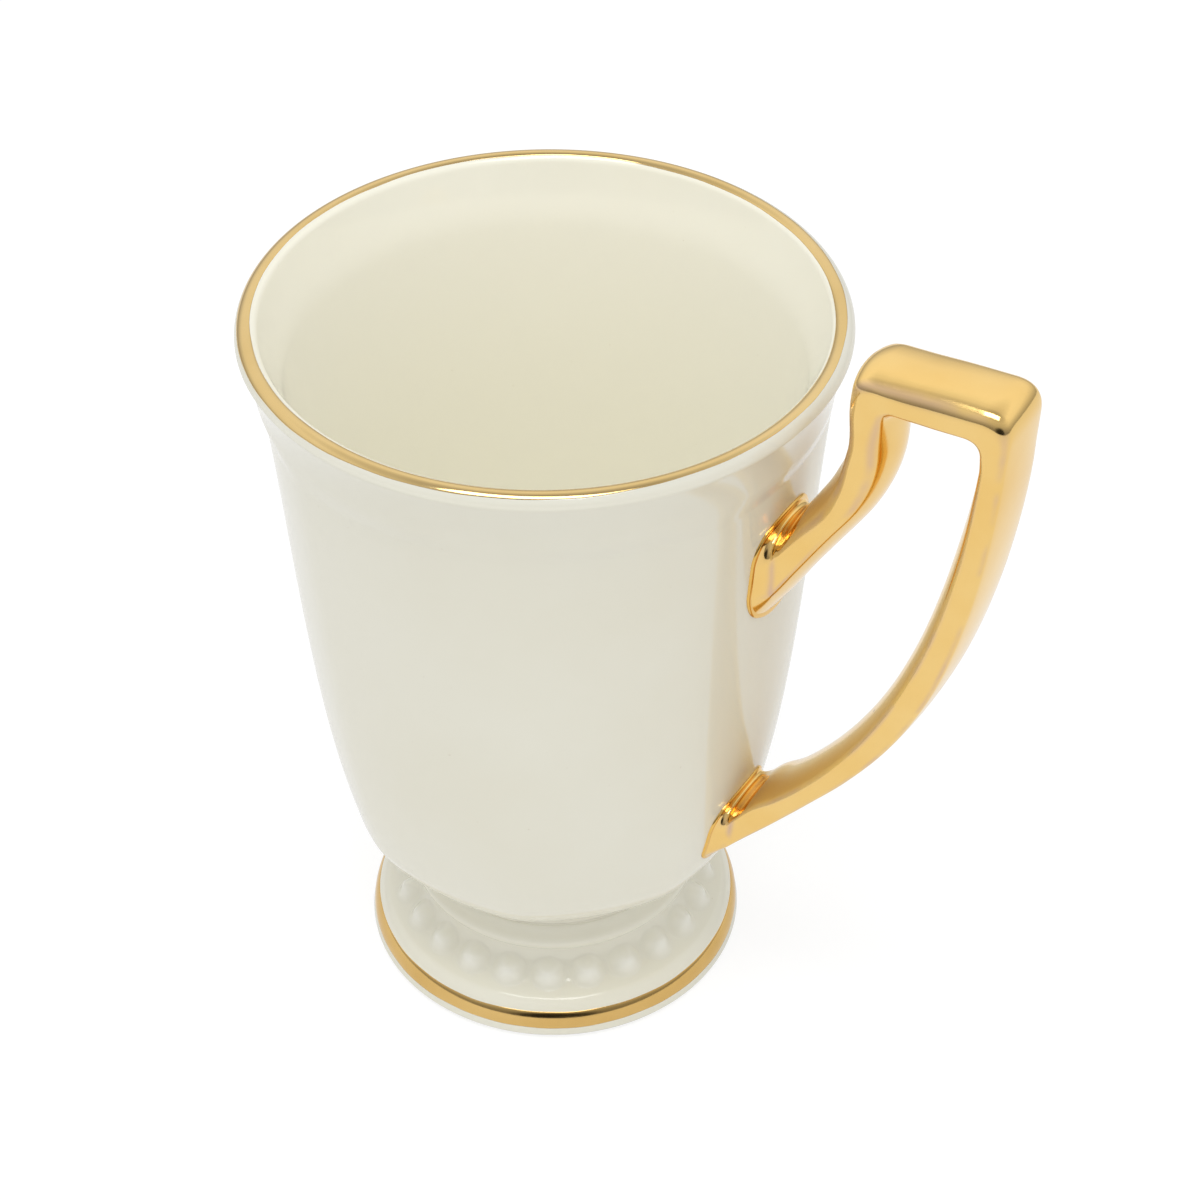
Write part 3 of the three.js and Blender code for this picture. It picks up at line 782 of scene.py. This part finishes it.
@dataclass
class PedestalFoot:
    """The turned foot with its cove of beads, and the slip that joins it to the bowl.

    The recess, neck and slip hold the radius, height and softness of each of their corners.
    """

    place: MugFrame
    bead_count: int
    recess: tuple[Corner, ...] = (
        (3.0, 12.8, 0.0),
        (15.2, 12.8, 1.6),
        (17.0, 3.6, 1.4),
        (26.4, 2.4, 0.8),
        (27.2, 0.0, 0.5),
        (29.9, 0.0, 0.5),
    )
    shoulder: tuple[Pair, ...] = ((30.6, 1.0), (30.25, 3.2), (29.3, 6.2), (27.6, 6.72))
    shoulder_soft: float = 0.4
    cove: tuple[Pair, ...] = ((27.6, 6.72), (24.9, 7.3), (22.7, 8.7), (22.3, 12.4))
    neck: tuple[Corner, ...] = (
        (23.3, 13.1, 0.9),
        (23.6, 14.7, 0.9),
        (22.2, 15.7, 0.9),
        (21.5, 16.8, 0.5),
        (19.0, 16.8, 0.0),
        (3.0, 16.8, 0.0),
    )
    slip: tuple[Corner, ...] = (
        (12.0, 16.7, 0.0),
        (21.6, 16.7, 0.4),
        (21.3, 17.4, 0.5),
        (21.7, 18.2, 0.4),
        (12.0, 18.2, 0.0),
    )
    line_from_edge: float = 1.2
    line_width: float = 3.0
    line_dome: float = 0.1
    bead_share: float = 0.45
    bead_reach: float = 3.15
    bead_rise: float = 2.0
    bead_sink: float = 0.006
    bead_root: float = 0.6
    bead_melt: float = 0.14
    bead_hub: float = 0.04
    bead_probe: float = 0.01
    around: int = 384
    corner_steps: int = 6
    slip_steps: int = 5
    shoulder_steps: int = 24
    cove_steps: int = 52
    line_rows: int = 17
    bead_rows: int = 24
    bead_around: int = 32

    def shoulder_line(self) -> np.ndarray:
        """Give the full round line from the foot's edge to the top of its rim."""
        return curved(self.shoulder, self.shoulder_steps)

    def cove_line(self) -> np.ndarray:
        """Give the hollow line that carries the beads, from the rim to the neck."""
        return curved(self.cove, self.cove_steps)

    def outline(self) -> np.ndarray:
        """Give the foot's outline, from the recess under it to its top."""
        shoulder = self.shoulder_line()
        edge = [(*self.shoulder[0], self.shoulder_soft), (*shoulder[1], 0.0)]
        under = filleted([*self.recess, *edge], self.corner_steps)
        neck = filleted([(*self.cove[-1], 0.0), *self.neck], self.corner_steps)
        return np.concatenate([under[:-1], shoulder[1:-1], self.cove_line(), neck[1:]])

    def gilded_course(self) -> np.ndarray:
        """Give the course of the painted line over the shoulder all round."""
        line = self.shoulder_line()
        places = self.line_from_edge + np.linspace(0.0, self.line_width, self.line_rows)
        course = spaced(line, places / run_lengths(line)[-1])
        return np.repeat(course[:, None], self.around, axis=1)

    def beads(self, finishes: Finishes) -> None:
        """Make the ring of beads, each melting into the cove."""
        line = self.cove_line()
        out = np.concatenate([[1.0], np.linspace(1.0, self.bead_hub, self.bead_rows)])[:, None]
        turn = round_angles(self.bead_around)
        aside, along = np.cos(turn), np.sin(turn)
        shares = np.clip(self.bead_share + out * along * self.bead_reach / run_lengths(line)[-1], 0.0, 1.0)
        ahead = spaced(line, np.clip(shares + self.bead_probe, 0.0, 1.0))
        behind = spaced(line, np.clip(shares - self.bead_probe, 0.0, 1.0))
        run = unit(ahead - behind)
        facing = rightward(run)
        bulge = (1 - out**2) ** 2
        slope = -4 * out * (1 - out**2) * self.bead_rise / self.bead_reach
        slope = slope * smoothstep(1 - out, (0.0, self.bead_melt))
        height = self.bead_rise * bulge - self.bead_sink
        # The outermost ring is the bead's root, under the surface of the cove.
        height[0] = -self.bead_root
        place = spaced(line, shares) + facing * height[:, :, None]
        leaning = facing - run * (slope * along)[:, :, None]
        swing = out * aside * self.bead_reach / spaced(line, np.array([self.bead_share]))[0, 0]
        # Painted light: each bead gets a paler tone towards its top.
        marks = bulge * np.ones_like(turn)
        for i in range(self.bead_count):
            angle = swing + 2 * math.pi * i / self.bead_count
            rings = wrapped(place[:, :, 0], angle, place[:, :, 1])
            normals = wrapped(leaning[:, :, 0], angle, leaning[:, :, 1])
            normals = unit(normals - wrapped(slope * aside, angle + math.pi / 2, 0.0))
            node = f"bead_{i + 1:02d}"
            self.place.piece(
                f"{node}_glazed", rings, Ends.CAPPED, finishes.beads, "bead_porcelain", [node],
                marks, normals,
            )

    def build(self, finishes: Finishes) -> None:
        """Make the glazed foot, the slip ring over it and the beads."""
        rings = turned(self.outline(), self.around)
        self.place.piece(
            "foot_glazed", rings, Ends.CAPPED, finishes.porcelain, "porcelain", ["pedestal_foot"]
        )
        rings = turned(filleted(self.slip, self.slip_steps), self.around)
        self.place.piece("foot_joint_glazed", rings, Ends.JOINED, finishes.slip, "slip", ["foot_joint"])
        self.beads(finishes)


@dataclass
class GoldLine:
    """A thin painted line of fired gold that lies on a turned surface.

    The waves of its two uneven edges hold their count round the mug, their offset and their share.
    """

    place: MugFrame
    name: str
    node: str
    course: np.ndarray
    finish: Finish
    film: float = 0.05
    dome: float = 0.0
    seated: float = 0.01
    rooted: float = 0.12
    edge_power: float = 0.35
    wobble: float = 0.05
    last_edge: tuple[Wave, ...] = ((5, 0.4, 1.0), (11, 1.9, 0.6), (23, 0.0, 0.4))
    first_edge: tuple[Wave, ...] = ((7, 2.1, 1.0), (13, 0.3, 0.5), (29, 1.0, 0.4))

    @staticmethod
    def ripple(angle: np.ndarray, waves: Sequence[Wave]) -> np.ndarray:
        """Add up waves round the mug."""
        return sum(share * np.sin(count * angle + offset) for count, offset, share in waves)

    def build(self) -> None:
        """Make the line as a closed ring with slightly uneven painted edges."""
        count, around = self.course.shape[:2]
        angle = round_angles(around)
        run = unit(np.gradient(self.course, axis=0))
        normal = rightward(run)
        edge = np.sin(np.linspace(0.0, math.pi, count)) ** self.edge_power
        share = np.linspace(-1.0, 1.0, count)[:, None]
        waves = np.where(share > 0, self.ripple(angle, self.last_edge), self.ripple(angle, self.first_edge))
        drift = self.wobble * waves * share * np.abs(share)
        painted = self.course + run * drift[:, :, None]
        rise = self.film * edge + self.dome * (1 - share[:, 0] ** 2) - self.seated
        above = painted + normal * rise[:, None, None]
        below = (painted - normal * self.rooted)[::-1]
        section = np.concatenate([above, below])
        rings = wrapped(section[:, :, 0], angle, section[:, :, 1])
        self.place.piece(self.name, rings, Ends.JOINED, self.finish, "line_gold", [self.node])


@dataclass
class StrapEnd:
    """One half of the strap, from its seat on the wall to its bend.

    The thickness is that at the wall, the waist and the bend. The flare's depths are those of the
    outer side, the inner side and the width, and the seat's edges those of the outer and inner side.
    """

    name: str
    node: str
    height: float
    angle: float
    run: float
    thickness: tuple[float, float, float]
    bend: Pair
    bend_run: float
    flare_width: float
    flare_aside: float
    flare_outer: float
    flare_inner: float
    flare_depth: tuple[float, float, float]
    seat_edges: Pair


@dataclass(frozen=True)
class StrapForm:
    """Crown, edge softness and gain of the strap's two faces at a share of its length."""

    share: float
    outer_crown: float
    inner_crown: float
    outer_edge: float
    inner_edge: float
    outer_gain: float
    inner_gain: float
    width_gain: float = 0.0


@dataclass
class StrapHandle:
    """The angular strap handle, gilded all over, with its two flared seats.

    The softness of the corners and of the gap is that at the post and at the leg. The pad's section
    holds shares of its margin and of its rise.
    """

    place: MugFrame
    bowl: Bowl
    width: float = 11.6
    bar_top: float = 131.7
    bar_rise: float = 1.1
    bar_thickness: float = 5.3
    post_centre: float = 53.1
    post_thickness: float = 5.2
    leg_centre: float = 71.1
    leg_thickness: float = 4.4
    corner_soft: Pair = (2.6, 4.2)
    gap_soft: Pair = (2.4, 2.4)
    forms: tuple[StrapForm, ...] = (
        StrapForm(0.000, 0.3, 2.0, 0.9, 0.7, 3.2, -2.1, 1.3),
        StrapForm(0.030, 0.3, 1.6, 0.9, 0.7, 1.2, 0.0, 0.6),
        StrapForm(0.070, 0.3, 1.9, 0.9, 0.7, -0.2, 0.1, 0.1),
        StrapForm(0.120, 0.4, 2.2, 0.9, 0.7, -0.9, 0.2),
        StrapForm(0.180, 0.4, 2.3, 0.9, 0.7, -0.65, 0.2),
        StrapForm(0.260, 0.5, 2.4, 0.9, 0.7, 0.05, 0.3),
        StrapForm(0.340, 0.5, 2.5, 0.9, 0.7, 0.2, 0.6),
        StrapForm(0.430, 0.5, 2.5, 0.9, 0.7, -0.2, 0.95),
        StrapForm(0.500, 0.5, 2.2, 0.9, 0.7, -0.4, 1.0),
        StrapForm(0.560, 0.5, 1.4, 0.9, 0.7, -0.35, 0.6),
        StrapForm(0.600, 0.6, 0.8, 1.2, 0.8, -0.1, 0.1),
        StrapForm(0.640, 0.8, 0.4, 1.9, 0.8, 0.2, -0.2),
        StrapForm(0.690, 0.95, 0.4, 1.9, 0.8, 0.25, -0.05),
        StrapForm(0.715, 1.1, 0.5, 1.8, 1.0, 0.05, 0.0),
        StrapForm(0.735, 1.4, 0.8, 1.6, 1.1, 0.05, 0.05),
        StrapForm(0.752, 1.6, 1.2, 1.3, 1.2, 0.8, 0.1),
        StrapForm(0.768, 1.2, 1.5, 1.2, 1.3, 0.9, 0.2),
        StrapForm(0.790, 0.9, 1.7, 1.1, 1.3, 0.4, 0.25),
        StrapForm(0.820, 0.9, 1.7, 1.0, 1.2, 0.6, 0.25),
        StrapForm(0.860, 2.3, 2.1, 1.0, 0.9, 1.2, 0.1),
        StrapForm(0.900, 3.2, 2.7, 1.0, 0.7, 1.0, 0.0),
        StrapForm(0.945, 3.0, 3.2, 1.0, 0.7, 0.45, 0.7, 0.4),
        StrapForm(0.970, 2.8, 3.8, 1.0, 0.7, -0.2, 1.5, 0.8),
        StrapForm(1.000, 2.6, 4.8, 1.0, 0.7, -0.8, 2.0, 1.3),
    )
    crown_power: float = 0.8
    edge_limit: float = 0.95
    ridge_power: int = 3
    cove_turn: float = 0.98
    fold_share: float = 1.6
    fold_width: float = 0.22
    seat_sink: float = 0.8
    pad_margin: float = 0.18
    pad_rise: float = 0.35
    pad_section: tuple[Pair, ...] = (
        (0.0, -1.2),
        (1.0, -0.8),
        (1.0, 0.1),
        (0.9, 0.5),
        (0.55, 0.85),
        (0.0, 1.0),
        (-2.0, 1.0),
    )
    curve_steps: int = 240
    buried: Pair = (8.0, 0.05)
    buried_rows: int = 60
    rows: int = 72
    row_power: float = 2.1
    upright_rows: int = 8
    corner_steps: int = 14
    bar_rows: int = 10
    edge_steps: int = 8
    face_steps: int = 10
    upper: StrapEnd = field(init=False)
    lower: StrapEnd = field(init=False)

    def __post_init__(self) -> None:
        """Set the two ends from the bar's sizes."""
        self.upper = StrapEnd(
            name="handle_joint_upper_gilded",
            node="handle_joint_upper",
            height=92.1,
            angle=56.5,
            run=14.5,
            thickness=(6.8, 6.2, self.post_thickness),
            bend=(self.post_centre, 119.9),
            bend_run=10.3,
            flare_width=0.9,
            flare_aside=0.7,
            flare_outer=5.0,
            flare_inner=0.3,
            flare_depth=(2.6, 1.5, 1.8),
            seat_edges=(3.2, 2.6),
        )
        self.lower = StrapEnd(
            name="handle_joint_lower_gilded",
            node="handle_joint_lower",
            height=40.6,
            angle=37.8,
            run=39.8,
            thickness=(4.8, 6.2, self.leg_thickness),
            bend=(self.leg_centre, 122.9),
            bend_run=14.0,
            flare_width=0.9,
            flare_aside=0.7,
            flare_outer=0.8,
            flare_inner=4.6,
            flare_depth=(1.5, 2.6, 1.8),
            seat_edges=(2.4, 3.0),
        )

    def side_line(self, end: StrapEnd, side: Side) -> np.ndarray:
        """Give one side of a strap end, from the wall to the bend.

        Args:
            end: The strap end.
            side: Which side of its middle line.

        Returns:
            The side's points, closer together near the wall.
        """
        lean = math.radians(end.angle)
        direction = np.array([math.cos(lean), math.sin(lean)])
        seat = np.array([float(self.bowl.wall_radius(end.height)), end.height])
        bend_x, bend_z = end.bend
        controls = [seat, seat + direction * end.run, (bend_x, bend_z - end.bend_run), end.bend]
        middle = curved(controls, self.curve_steps)
        t = np.linspace(0.0, 1.0, len(middle))
        wall, waist, top = end.thickness
        half = ((1 - t) ** 2 * wall + 2 * t * (1 - t) * waist + t**2 * top) / 2
        normal = -rightward(unit(np.gradient(middle, axis=0)))
        line = middle + normal * (side.value * half)[:, None]
        # A straight root runs back into the wall, and the side starts where the line comes out of it.
        root = line[0] - direction * np.linspace(*self.buried, self.buried_rows)[:, None]
        line = np.concatenate([root, line])
        within = np.nonzero(line[:, 0] < self.bowl.wall_radius(line[:, 1]))[0]
        line = line[within[-1] + 1:]
        return spaced(line, np.linspace(0.0, 1.0, self.rows) ** self.row_power)

    def bar_height(self, x: float) -> float:
        """Give the height of the bar's top."""
        inner = self.post_centre - self.post_thickness / 2
        outer = self.leg_centre + self.leg_thickness / 2
        return self.bar_top + self.bar_rise * (x - inner) / (outer - inner)

    def corner(self, x: float, drop: float, bend: float, soft: float) -> np.ndarray:
        """Give one softened corner of the bar.

        Args:
            x: Place of the upright side.
            drop: Depth of the bar's side under its top.
            bend: Height where the upright side starts.
            soft: Softness of the corner.

        Returns:
            The points from the upright side to the middle of the bar.
        """
        bar_middle = (self.post_centre + self.leg_centre) / 2
        start = np.array([x, bend])
        peak = np.array([x, self.bar_height(x) - drop])
        stop = np.array([bar_middle, self.bar_height(bar_middle) - drop])
        back = peak + unit(start - peak) * soft
        ahead = peak + unit(stop - peak) * soft
        upright = np.linspace(start, back, self.upright_rows)[1:-1]
        along = np.linspace(ahead, stop, self.bar_rows)[1:]
        return np.concatenate([upright, curved([back, peak, ahead], self.corner_steps), along])

    def whole_side(self, side: Side, drop: float, soft: Pair) -> np.ndarray:
        """Give one side of the whole strap, from the lower seat to the upper.

        Args:
            side: Which side of the strap.
            drop: Depth of this side of the bar under its top.
            soft: Softness of its corner at the post and at the leg.

        Returns:
            The side's points, which match those of the other side one for one.
        """
        leg_x = self.leg_centre - side.value * self.leg_thickness / 2
        post_x = self.post_centre + side.value * self.post_thickness / 2
        return np.concatenate([
            self.side_line(self.lower, side),
            self.corner(leg_x, drop, self.lower.bend[1], soft[1]),
            self.corner(post_x, drop, self.upper.bend[1], soft[0])[::-1][1:],
            self.side_line(self.upper, Side(-side.value))[::-1],
        ])

    def flares(self, outer: np.ndarray, inner: np.ndarray) -> dict[str, np.ndarray]:
        """Work out how each ring flares and softens towards the wall.

        Args:
            outer: The strap's outer side.
            inner: The strap's inner side.

        Returns:
            Growth of the outer side, of the inner side and of the half width, how far the ring is set
            aside, distance to the wall in depths of the cove, and the softness of both edges at the
            seat, by name.
        """
        names = ("outer", "inner", "width", "aside", "apart", "outer_edge", "inner_edge")
        growth = np.zeros((len(names), len(outer)))
        middle = (outer + inner) / 2
        gap = middle[:, 0] - self.bowl.wall_radius(middle[:, 1])
        half = len(outer) // 2
        for end, part in ((self.lower, slice(0, half)), (self.upper, slice(half, None))):
            depth = np.array([*end.flare_depth, end.flare_depth[-1]])
            apart = gap[part] / depth[:, None]
            close = np.clip(1.0 - apart, 0.0, 1.0)
            hollow = 1.0 - np.sqrt(1.0 - (self.cove_turn * close) ** 2)
            flare = np.array([end.flare_outer, end.flare_inner, end.flare_width, end.flare_aside])
            edges = np.outer(end.seat_edges, np.ones(apart.shape[1]))
            growth[:, part] = np.concatenate([flare[:, None] * hollow, apart[-1:], edges])
        return {name: row[:, None] for name, row in zip(names, growth)}

    def formed(self, middle: np.ndarray) -> dict[str, np.ndarray]:
        """Spread the forms along the strap.

        Args:
            middle: The strap's middle line.

        Returns:
            Crown, edge softness and gain of both faces at each ring, by name.
        """
        length = run_lengths(middle)
        knots = np.array([form.share for form in self.forms])
        spread = {}
        for each in fields(StrapForm)[1:]:
            values = np.array([getattr(form, each.name) for form in self.forms])
            spread[each.name] = eased(length / length[-1], knots, values)[:, None]
        return spread

    def section(
        self, half_t: np.ndarray, half_w: np.ndarray, forms: dict[str, np.ndarray]
    ) -> tuple[np.ndarray, np.ndarray, np.ndarray]:
        """Give the rounded section of every ring.

        Args:
            half_t: Half the thickness of each ring.
            half_w: Half the width of each ring.
            forms: Crown and edge softness of each ring.

        Returns:
            Places across the thickness and across the width, and the share of ridge round a ring.
        """
        spare = self.edge_limit * (half_t - (forms["outer_crown"] + forms["inner_crown"]) / 2)
        outer = (half_t - forms["outer_crown"], np.minimum(forms["outer_edge"], spare))
        inner = (half_t - forms["inner_crown"], np.minimum(forms["inner_edge"], spare))
        corners = ((1, 1, outer), (-1, 1, inner), (-1, -1, inner), (1, -1, outer))
        quarter = np.linspace(0.0, math.pi / 2, self.edge_steps + 1)
        bends = []
        for k, (side, hand, (reach, soft)) in enumerate(corners):
            turn = quarter + k * math.pi / 2
            u = side * (reach - soft) + soft * np.cos(turn)
            y = hand * (half_w - soft) + soft * np.sin(turn)
            bends.append(np.stack([u, y], 2))
        whole, faces, ridges = [], [], []
        share = np.linspace(0.0, 1.0, self.face_steps + 1)[1:-1, None]
        # Each rounded edge gets a ridge share, which carries a painted dark mauve reflection.
        ridge = np.sin(np.linspace(0.0, math.pi, len(quarter))) ** self.ridge_power
        for k, bend in enumerate(bends):
            following = (k + 1) % len(bends)
            whole.extend([bend, bend[:, -1:] * (1 - share) + bends[following][:, :1] * share])
            faces.extend([corners[k][0]] * len(quarter))
            faces.extend([(corners[k][0] + corners[following][0]) / 2] * len(share))
            ridges.extend([ridge, np.zeros(len(share))])
        ring = np.concatenate(whole, 1)
        u, y = ring[:, :, 0], ring[:, :, 1]
        face = np.array(faces)
        crown = np.where(face > 0, forms["outer_crown"], forms["inner_crown"])
        u = u + face * crown * np.maximum(1 - (y / half_w) ** 2, 0.0) ** self.crown_power
        return u, y, np.concatenate(ridges)

    def rings(self) -> tuple[np.ndarray, np.ndarray]:
        """Give the strap's rings and the share of ridge and seat fold at each place of each ring, which
        carries a painted dark reflection.
        """
        outer = self.whole_side(Side.OUTER, 0.0, self.corner_soft)
        inner = self.whole_side(Side.INNER, self.bar_thickness, self.gap_soft)
        forms = self.formed((outer + inner) / 2)
        flares = self.flares(outer, inner)
        close = np.clip(1.0 - flares["apart"], 0.0, 1.0)
        grow_outer = flares["outer"] + forms["outer_gain"]
        grow_inner = flares["inner"] + forms["inner_gain"]
        for name in ("outer_edge", "inner_edge"):
            forms[name] = forms[name] + close * (flares[name] - forms[name])
        across = outer - inner
        thickness = np.linalg.norm(across, axis=1)[:, None]
        across = across / thickness
        outer = outer + across * grow_outer
        inner = inner - across * grow_inner
        middle = (outer + inner) / 2
        half_t = (thickness + grow_outer + grow_inner) / 2
        half_w = self.width / 2 + flares["width"] + forms["width_gain"]
        u, y, ridge = self.section(half_t, half_w, forms)
        y = y - flares["aside"]
        x = middle[:, :1] + across[:, :1] * u
        z = middle[:, 1:] + across[:, 1:] * u
        # Near the wall the rings follow the bulge of the handle's panel.
        x = x + close**2 * (self.bowl.wall_x(y, z) - self.bowl.wall_radius(z))
        # A painted dark line lies along the fold where each seat's cove starts.
        fold = self.fold_share * np.exp(-(((flares["apart"] - 1.0) / self.fold_width) ** 2))
        return np.stack([x, y, z], 2), np.maximum(ridge, fold)

    def pad(self, end: StrapEnd, seat: np.ndarray, finishes: Finishes) -> None:
        """Make the gilded roll of slip that shows round one seat.

        Args:
            end: The strap end.
            seat: The strap's last ring at the wall.
            finishes: The mug's finishes.
        """
        outline = seat[:, 1:]
        away = unit(outline - outline.mean(axis=0))
        rings = []
        for margin, rise in self.pad_section:
            flat = outline + away * margin * self.pad_margin
            x = self.bowl.wall_x(flat[:, 0], flat[:, 1]) + rise * self.pad_rise
            rings.append(np.column_stack([x, flat]))
        self.place.piece(end.name, np.stack(rings), Ends.CAPPED, finishes.pad, "joint_gold", [end.node])

    def build(self, finishes: Finishes) -> None:
        """Make the gilded strap and the rolls round its seats."""
        rings, ridge = self.rings()
        sink = np.array([self.seat_sink, 0.0, 0.0])
        stack = np.concatenate([rings[:1] - sink, rings, rings[-1:] - sink])
        ridge = np.concatenate([ridge[:1], ridge, ridge[-1:]])
        # The ridge share goes in as marks, for the painted dark reflection.
        self.place.piece(
            "handle_gilded", stack, Ends.CAPPED, finishes.handle, "handle_gold", ["handle"], ridge
        )
        self.pad(self.lower, rings[0], finishes)
        self.pad(self.upper, rings[-1], finishes)


@dataclass
class Studio:
    """Pale floor, soft studio light and the camera, in metres and degrees.

    The levels hold places from 0 to 1 and the brightness at each.
    """

    azimuth: float = 32.0
    elevation: float = 40.63
    distance: float = 0.4134
    roll: float = -0.144
    aim: tuple[float, float, float] = (-0.00845, 0.00404, 0.06649)
    lens: float = 81.0
    sensor: float = 36.0
    nearest: float = 0.01
    floor_size: float = 6.0
    floor_glow: Pair = (0.76, 0.62)
    floor_seen: Colour = (0.30, 0.30, 0.30)
    floor_matt: Colour = (0.86, 0.86, 0.85)
    ambient: float = 1.19
    tent_levels: tuple[Pair, ...] = ((0.0, 0.53), (0.45, 0.57), (0.75, 0.73), (1.0, 0.82))
    mirrored: float = 1.12
    front_levels: tuple[Pair, ...] = ((0.0, 0.95), (0.45, 0.92), (0.70, 0.70), (0.945, 0.48), (0.976, 0.04))
    height_levels: tuple[Pair, ...] = (
        (0.0, 0.40),
        (0.20, 0.62),
        (0.45, 0.94),
        (0.70, 1.0),
        (0.88, 0.7),
        (1.0, 0.4),
    )
    lamp_size: Pair = (0.315, 0.20)
    lamp_power: float = 1.0
    lamp_ahead: float = 0.1322
    lamp_aside: float = -0.0224
    lamp_height: float = 0.57
    lamp_turn: float = 4.0

    @property
    def ahead(self) -> Vector:
        """Level direction from the mug towards the camera."""
        turn = math.radians(self.azimuth)
        return Vector((math.sin(turn), -math.cos(turn), 0.0))

    def camera(self) -> None:
        """Set the camera at the photograph's viewing angle."""
        turn, rise = math.radians(self.azimuth), math.radians(self.elevation)
        back = Vector((math.sin(turn) * math.cos(rise), -math.cos(turn) * math.cos(rise), math.sin(rise)))
        data = bpy.data.cameras.new("camera")
        data.lens = self.lens
        data.sensor_width = self.sensor
        data.clip_start = self.nearest
        made = in_scene("camera", data)
        facing = (-back).to_track_quat("-Z", "Y").to_matrix().to_4x4()
        spin = Matrix.Rotation(math.radians(self.roll), 4, "Z")
        made.matrix_world = Matrix.Translation(Vector(self.aim) + back * self.distance) @ facing @ spin
        bpy.context.scene.camera = made

    def floor(self) -> None:
        """Lay a pale floor that stays white to the camera and keeps the mug's shadow."""
        half = self.floor_size / 2
        corners = [(-half, -half, 0.0), (half, -half, 0.0), (half, half, 0.0), (-half, half, 0.0)]
        mesh = bpy.data.meshes.new("floor")
        mesh.from_pydata(corners, [], [(0, 1, 2, 3)])
        made = in_scene("floor", mesh)
        pale = bpy.data.materials.new("pale_floor")
        pale.use_nodes = True
        sheet = NodeSheet(pale.node_tree)
        ways = sheet.add("ShaderNodeLightPath").outputs
        level = sheet.ranged(ways["Is Camera Ray"], (1.0, 0.0), self.floor_glow)
        glow = sheet.add("ShaderNodeEmission", {"Color": WHITE, "Strength": level})
        lit = sheet.add("ShaderNodeBsdfDiffuse", {"Color": self.floor_seen})
        seen = sheet.add("ShaderNodeAddShader", {0: lit.outputs["BSDF"], 1: glow.outputs["Emission"]})
        matt = sheet.add("ShaderNodeBsdfDiffuse", {"Color": self.floor_matt})
        direct = sheet.maths("MAXIMUM", ways["Is Camera Ray"], ways["Is Glossy Ray"])
        surface = sheet.chosen(direct, matt.outputs["BSDF"], seen.outputs["Shader"])
        sheet.add("ShaderNodeOutputMaterial", {"Surface": surface})
        mesh.materials.append(pale)

    def surround(self) -> None:
        """Light the mug from a pale tent, with a darker front in its reflections and white behind it."""
        world = bpy.data.worlds.new("tent")
        world.use_nodes = True
        bpy.context.scene.world = world
        sheet = NodeSheet(world.node_tree)
        direction = sheet.add("ShaderNodeTexCoord").outputs["Generated"]
        height = sheet.add("ShaderNodeSeparateXYZ", {"Vector": direction}).outputs["Z"]
        front = sheet.add("ShaderNodeVectorMath", {0: direction, 1: self.ahead}, operation="DOT_PRODUCT")
        facing = sheet.ranged(front.outputs["Value"], (-1.0, 1.0), (0.0, 1.0))
        by_front = sheet.ramp(facing, self.front_levels)
        by_height = sheet.ramp(height, self.height_levels)
        room = sheet.blend(1.0, by_front, by_height, "MULTIPLY")
        mirrored = sheet.background(room, self.mirrored)
        tent = sheet.background(sheet.ramp(height, self.tent_levels), self.ambient)
        white = sheet.background(WHITE, 1.0)
        ways = sheet.add("ShaderNodeLightPath").outputs
        lit = sheet.chosen(ways["Is Glossy Ray"], tent, mirrored)
        surface = sheet.chosen(ways["Is Camera Ray"], lit, white)
        sheet.add("ShaderNodeOutputWorld", {"Surface": surface})

    def lamp(self) -> None:
        """Hang one bar lamp over the front of the mug."""
        data = bpy.data.lights.new("overhead", "AREA")
        data.shape = "RECTANGLE"
        data.size, data.size_y = self.lamp_size
        data.energy = self.lamp_power
        made = in_scene("overhead", data)
        turn = math.radians(self.azimuth)
        ahead = self.ahead * self.lamp_ahead
        aside = Vector((math.cos(turn), math.sin(turn), 0.0)) * self.lamp_aside
        made.location = Vector((self.aim[0], self.aim[1], self.lamp_height)) + ahead + aside
        tilt = math.atan2(self.lamp_ahead, self.lamp_height - self.aim[2])
        made.rotation_euler = (tilt, 0.0, math.radians(self.lamp_turn))

    def build(self) -> None:
        """Set up camera, floor, surround, lamp and view."""
        self.camera()
        self.floor()
        self.surround()
        self.lamp()
        bpy.context.scene.view_settings.view_transform = "Standard"


def main() -> None:
    """Build the mug piece by piece, then the studio."""
    logging.basicConfig(level=logging.INFO, format="%(name)s %(message)s")
    finishes = Finishes()
    place = MugFrame.from_nodes()
    bowl_low, bowl_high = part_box("bowl")
    rim_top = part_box("rim_gilding")[1].z / MM
    beads = [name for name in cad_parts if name.startswith("bead_")]
    bowl = Bowl(place, height=rim_top - GoldLine.film, lip_radius=(bowl_high.y - bowl_low.y) / 2 / MM)
    bowl.build(finishes)
    foot = PedestalFoot(place, bead_count=len(beads))
    foot.build(finishes)
    GoldLine(place, "rim_gilding_line", "rim_gilding", bowl.gilded_course(), finishes.rim_line).build()
    course, dome = foot.gilded_course(), foot.line_dome
    GoldLine(place, "foot_gilding_line", "foot_gilding", course, finishes.foot_line, dome=dome).build()
    StrapHandle(place, bowl).build(finishes)
    Studio().build()


if __name__ == "__main__":
    main()
